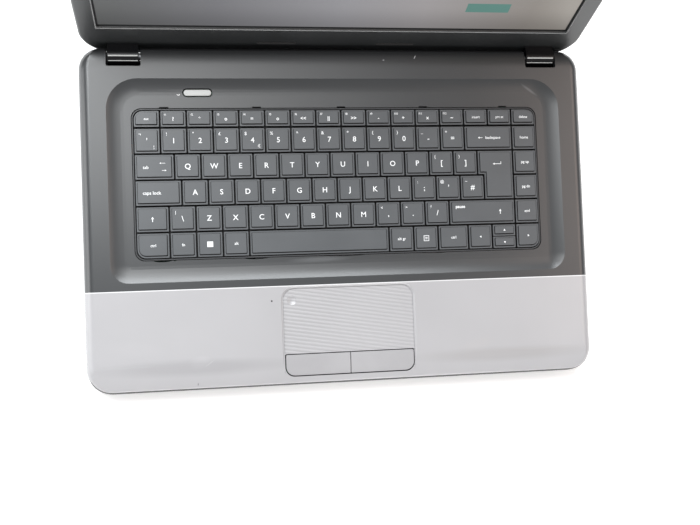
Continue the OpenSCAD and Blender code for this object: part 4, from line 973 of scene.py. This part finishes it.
# %% Lid back
LID_WALL = 1.8
back = add_slab("lid_shell", [-LID_W / 2, LID_FRONT, BEZEL_Z + BEZEL_T],
    [LID_W / 2, LID_REAR, BEZEL_Z + LID_T], LID_FRONT_R, LID_REAR_R, 12)
bevel_edges(back, lambda a, b: a.z > BEZEL_Z + LID_T - 0.01 and b.z > BEZEL_Z + LID_T - 0.01, 5, 8)
carve(back, add_slab("lid_hollow", [-LID_W / 2 + LID_WALL, LID_FRONT + LID_WALL, BEZEL_Z],
    [LID_W / 2 - LID_WALL, LID_REAR - LID_WALL, BEZEL_Z + LID_T - LID_WALL],
    LID_FRONT_R - LID_WALL, LID_REAR_R - LID_WALL, 10))
soften(back, 0.2, 2, 40)
finish_piece(open_up(back), lid_abs, "lid", ["lid_cover"])

# %% Hinge knuckles
KNUCKLE_R = ROLL_R + 0.4
half_w = KNUCKLE_W / 2
knuckles = []
for side in (-1, 1):
    x0, x1 = side * NOTCH_X - half_w, side * NOTCH_X + half_w
    barrel = add_rod("knuckle", KNUCKLE_R, [x0, HINGE[1], HINGE[2]], [x1, HINGE[1], HINGE[2]], 64)
    carve(barrel, add_block("web", [x0, HINGE[1] - KNUCKLE_R, HINGE[2]],
        [x1, HINGE[1] + KNUCKLE_R - 0.01, BEZEL_Z]), "UNION")
    knuckles.append(barrel)
knuckle = join("hinge_knuckles", knuckles)
soften(knuckle, 0.5, 3, 40)
open_up(knuckle)
knuckle.data.materials.append(hinge_black)
# The silver slot and the thin silver rods below are painted highlights: they stand in for the glints along
# each glossy barrel.
knuckle.data.materials.append(button_silver_and_painted_glint)
painted_highlight_rods = []
for side in (-1, 1):
    for lean, thick in ((8, 0.5), (40, 0.34)):
        y = HINGE[1] - KNUCKLE_R * math.sin(math.radians(lean))
        z = HINGE[2] + KNUCKLE_R * math.cos(math.radians(lean)) - 0.15
        painted_highlight_rod = add_rod("painted_highlight_rod", thick, [side * NOTCH_X - half_w + 0.6, y, z],
            [side * NOTCH_X + half_w - 0.6, y, z], 16)
        painted_highlight_rod.data.materials.append(button_silver_and_painted_glint)
        painted_highlight_rods.append(painted_highlight_rod)
knuckle = join("hinge_knuckles", [knuckle] + painted_highlight_rods)
finish_piece(knuckle, hinge_black, "lid", ["hinge_covers"])

# %% [markdown]
# ## Screen
# A lit panel behind a matt front. The light it gives is nearly flat: a grey violet that falls off
# towards the left, with one teal field. A black border hides its edge.

# %% Screen
def screen_material():
    look, tree, shader = new_material("lit_screen", "#0a0a0b", 0.45)
    place = add_node(tree, "ShaderNodeTexCoord").outputs["Object"]
    axis = add_node(tree, "ShaderNodeSeparateXYZ", {"Vector": place})
    ramp = add_node(tree, "ShaderNodeValToRGB")
    across = add_node(tree, "ShaderNodeMapRange",
        {"Value": axis.outputs["X"], "From Min": -0.18, "From Max": 0.18})
    tree.links.new(across.outputs["Result"], ramp.inputs["Fac"])
    stops = ramp.color_ramp.elements
    stops[0].color, stops[1].color = light_of("#585a59"), light_of("#a09a92")
    for place_x, colour in ((0.25, "#77777b"), (0.5, "#969599"), (0.66, "#9f9b9c"), (0.88, "#8f8983")):
        stops.new(place_x).color = light_of(colour)
    falloff = add_node(tree, "ShaderNodeMapRange",
        {"Value": axis.outputs["Z"], "From Min": (HINGE[2] + 18) * MM,
        "From Max": (HINGE[2] + 46) * MM, "To Min": 0.6, "To Max": 0.93}, interpolation_type="SMOOTHSTEP")
    dimmed = add_node(tree, "ShaderNodeVectorMath",
        {0: ramp.outputs["Color"], "Scale": falloff.outputs["Result"]},
        operation="SCALE")
    tree.links.new(dimmed.outputs["Vector"], shader.inputs["Emission Color"])
    shader.inputs["Emission Strength"].default_value = 1.0
    return look


glow = screen_material()
teal_glow, _, teal_shader = new_material("teal_field", "#123a38", 0.45)
teal_shader.inputs["Emission Color"].default_value = light_of("#62887f")
teal_shader.inputs["Emission Strength"].default_value = 0.75
SCREEN_Z = BEZEL_Z + BEZEL_T
MASK, TUCKED = 0.9, 3
panel = add_block("screen_sheet", [screen_low[0] - TUCKED, screen_low[1] - TUCKED, SCREEN_Z],
    [screen_high[0] + TUCKED, screen_high[1] + TUCKED, SCREEN_Z + 0.7])
pick(panel, "faces", lambda c, n: n.z < -0.9)
bpy.ops.mesh.inset(thickness=(TUCKED + MASK) * MM)
leave()
panel.data.materials.append(deck_black)
panel.data.materials.append(glow)
for face in panel.data.polygons:
    inner = face.normal.z < -0.9 and face.area > 0.9 * SCREEN_W * SCREEN_H * MM * MM
    face.material_index = 1 if inner else 0
finish_piece(open_up(panel), glow, "lid", ["screen_face"])
TEAL_X, TEAL_UP = (87, 119), (44.2, 53.7)
field = add_block("teal_panel_field", [TEAL_X[0], HINGE[1] - TEAL_UP[1], SCREEN_Z - 0.04],
    [TEAL_X[1], HINGE[1] - TEAL_UP[0], SCREEN_Z])
finish_piece(open_up(field), teal_glow, "lid", [])

# %% [markdown]
# ## Carried-over pieces
# The CAD pieces whose shape is already right get the finish of their real material.

# %% CAD finishes
finishes = {
    black_abs: ["bottom_case", "service_cover", "battery_pack", "battery_latch", "fan_housing", "fan_rotor",
        "disc_tray", "tray_button", "speakers", "network_socket", "audio_sockets", "power_socket",
        "screen_cable"],
    soft_rubber: ["rubber_feet", "bezel_bumpers"],
    steel: ["case_screws", "hard_drive_bracket", "optical_drive", "usb_sockets", "display_socket",
        "card_slot", "disc_spindle", "hinge_arms", "hinge_brackets", "clock_cell"],
    deck_black: ["keyboard_plate", "keyboard_membrane", "keyboard_clips"],
    acetal: ["key_scissors"],
    board_green: ["power_button_board", "touchpad_board", "touchpad_button_board", "mainboard", "side_board",
        "memory_modules", "wireless_card", "webcam_module", "processor"],
    copper: ["heat_sink"],
    aluminium: ["hard_drive", "display_panel"],
    connector_blue: ["video_socket"],
}
for look, names in finishes.items():
    for name in names:
        mesh = nodes[name].data
        mesh.materials.clear()
        mesh.materials.append(look)

# %% [markdown]
# ## Table and light
# A white table in a plain room: a broad window and a skylight behind the lid, a ceiling panel, and
# weak light from the front wall, the left wall and a warm wall on the right.

# %% Table
def stage_material():
    look, tree, shader = new_material("white_table", "#f2f2f2", 0.9, specular=0.1)
    out = tree.nodes["Material Output"]
    path = add_node(tree, "ShaderNodeLightPath")
    direct = add_node(tree, "ShaderNodeMath",
        {0: path.outputs["Is Camera Ray"], 1: path.outputs["Is Glossy Ray"]},
        operation="MAXIMUM")
    seen = add_node(tree, "ShaderNodeMath",
        {0: direct.outputs["Value"], 1: path.outputs["Is Transmission Ray"]},
        operation="MAXIMUM").outputs["Value"]
    white = add_node(tree, "ShaderNodeEmission", {"Color": (1, 1, 1, 1), "Strength": 0.35})
    both = add_node(tree, "ShaderNodeAddShader")
    tree.links.new(shader.outputs["BSDF"], both.inputs[0])
    tree.links.new(white.outputs["Emission"], both.inputs[1])
    mix = add_node(tree, "ShaderNodeMixShader", {"Fac": seen})
    tree.links.new(shader.outputs["BSDF"], mix.inputs[1])
    tree.links.new(both.outputs["Shader"], mix.inputs[2])
    tree.links.new(mix.outputs["Shader"], out.inputs["Surface"])
    return look


clear_selection()
bpy.ops.mesh.primitive_plane_add(size=8, location=(0, 0, 0))
table = bpy.context.object
table.name = "white_table_top"
table.data.materials.append(stage_material())


def add_lamp(name, place, target, size, power, colour=(1, 1, 1)):
    lamp = bpy.data.objects.new(name, bpy.data.lights.new(name, "AREA"))
    bpy.context.scene.collection.objects.link(lamp)
    lamp.data.shape = "RECTANGLE"
    lamp.data.size, lamp.data.size_y = size
    lamp.data.energy = power
    lamp.data.color = colour
    eye, goal = Vector(place), Vector(target)
    aim(lamp, eye, (goal - eye).normalized(), Vector([0, 1, 0.01]))
    return lamp


add_lamp("ceiling_panel", (-0.2, 0.5, 1.5), (-0.2, 0.5, 0), (1.0, 0.8), 4)
add_lamp("skylight", (-0.54, 0.6, 1.5), (-0.54, 0.6, 0), (0.6, 0.6), 17, (0.95, 0.98, 1.0))
add_lamp("window", (-0.25, 1.15, 1.2), (0, 0, 0), (1.6, 0.8), 34, (0.93, 0.97, 1.0))
add_lamp("front_wall", (-0.1, -1.5, 0.3), (0, 0, 0), (1.6, 0.5), 16)
add_lamp("left_wall", (-1.6, 0.1, 0.5), (0, 0, 0), (0.9, 0.7), 7)
add_lamp("right_fill", (1.05, 0.15, 1.2), (0, 0, 0), (0.8, 0.8), 5, (1.0, 0.8, 0.7))
world = bpy.data.worlds.new("room")
world.use_nodes = True
world.node_tree.nodes["Background"].inputs["Color"].default_value = (1, 1, 1, 1)
world.node_tree.nodes["Background"].inputs["Strength"].default_value = 0.4
bpy.context.scene.world = world
bpy.context.scene.view_settings.view_transform = "Standard"
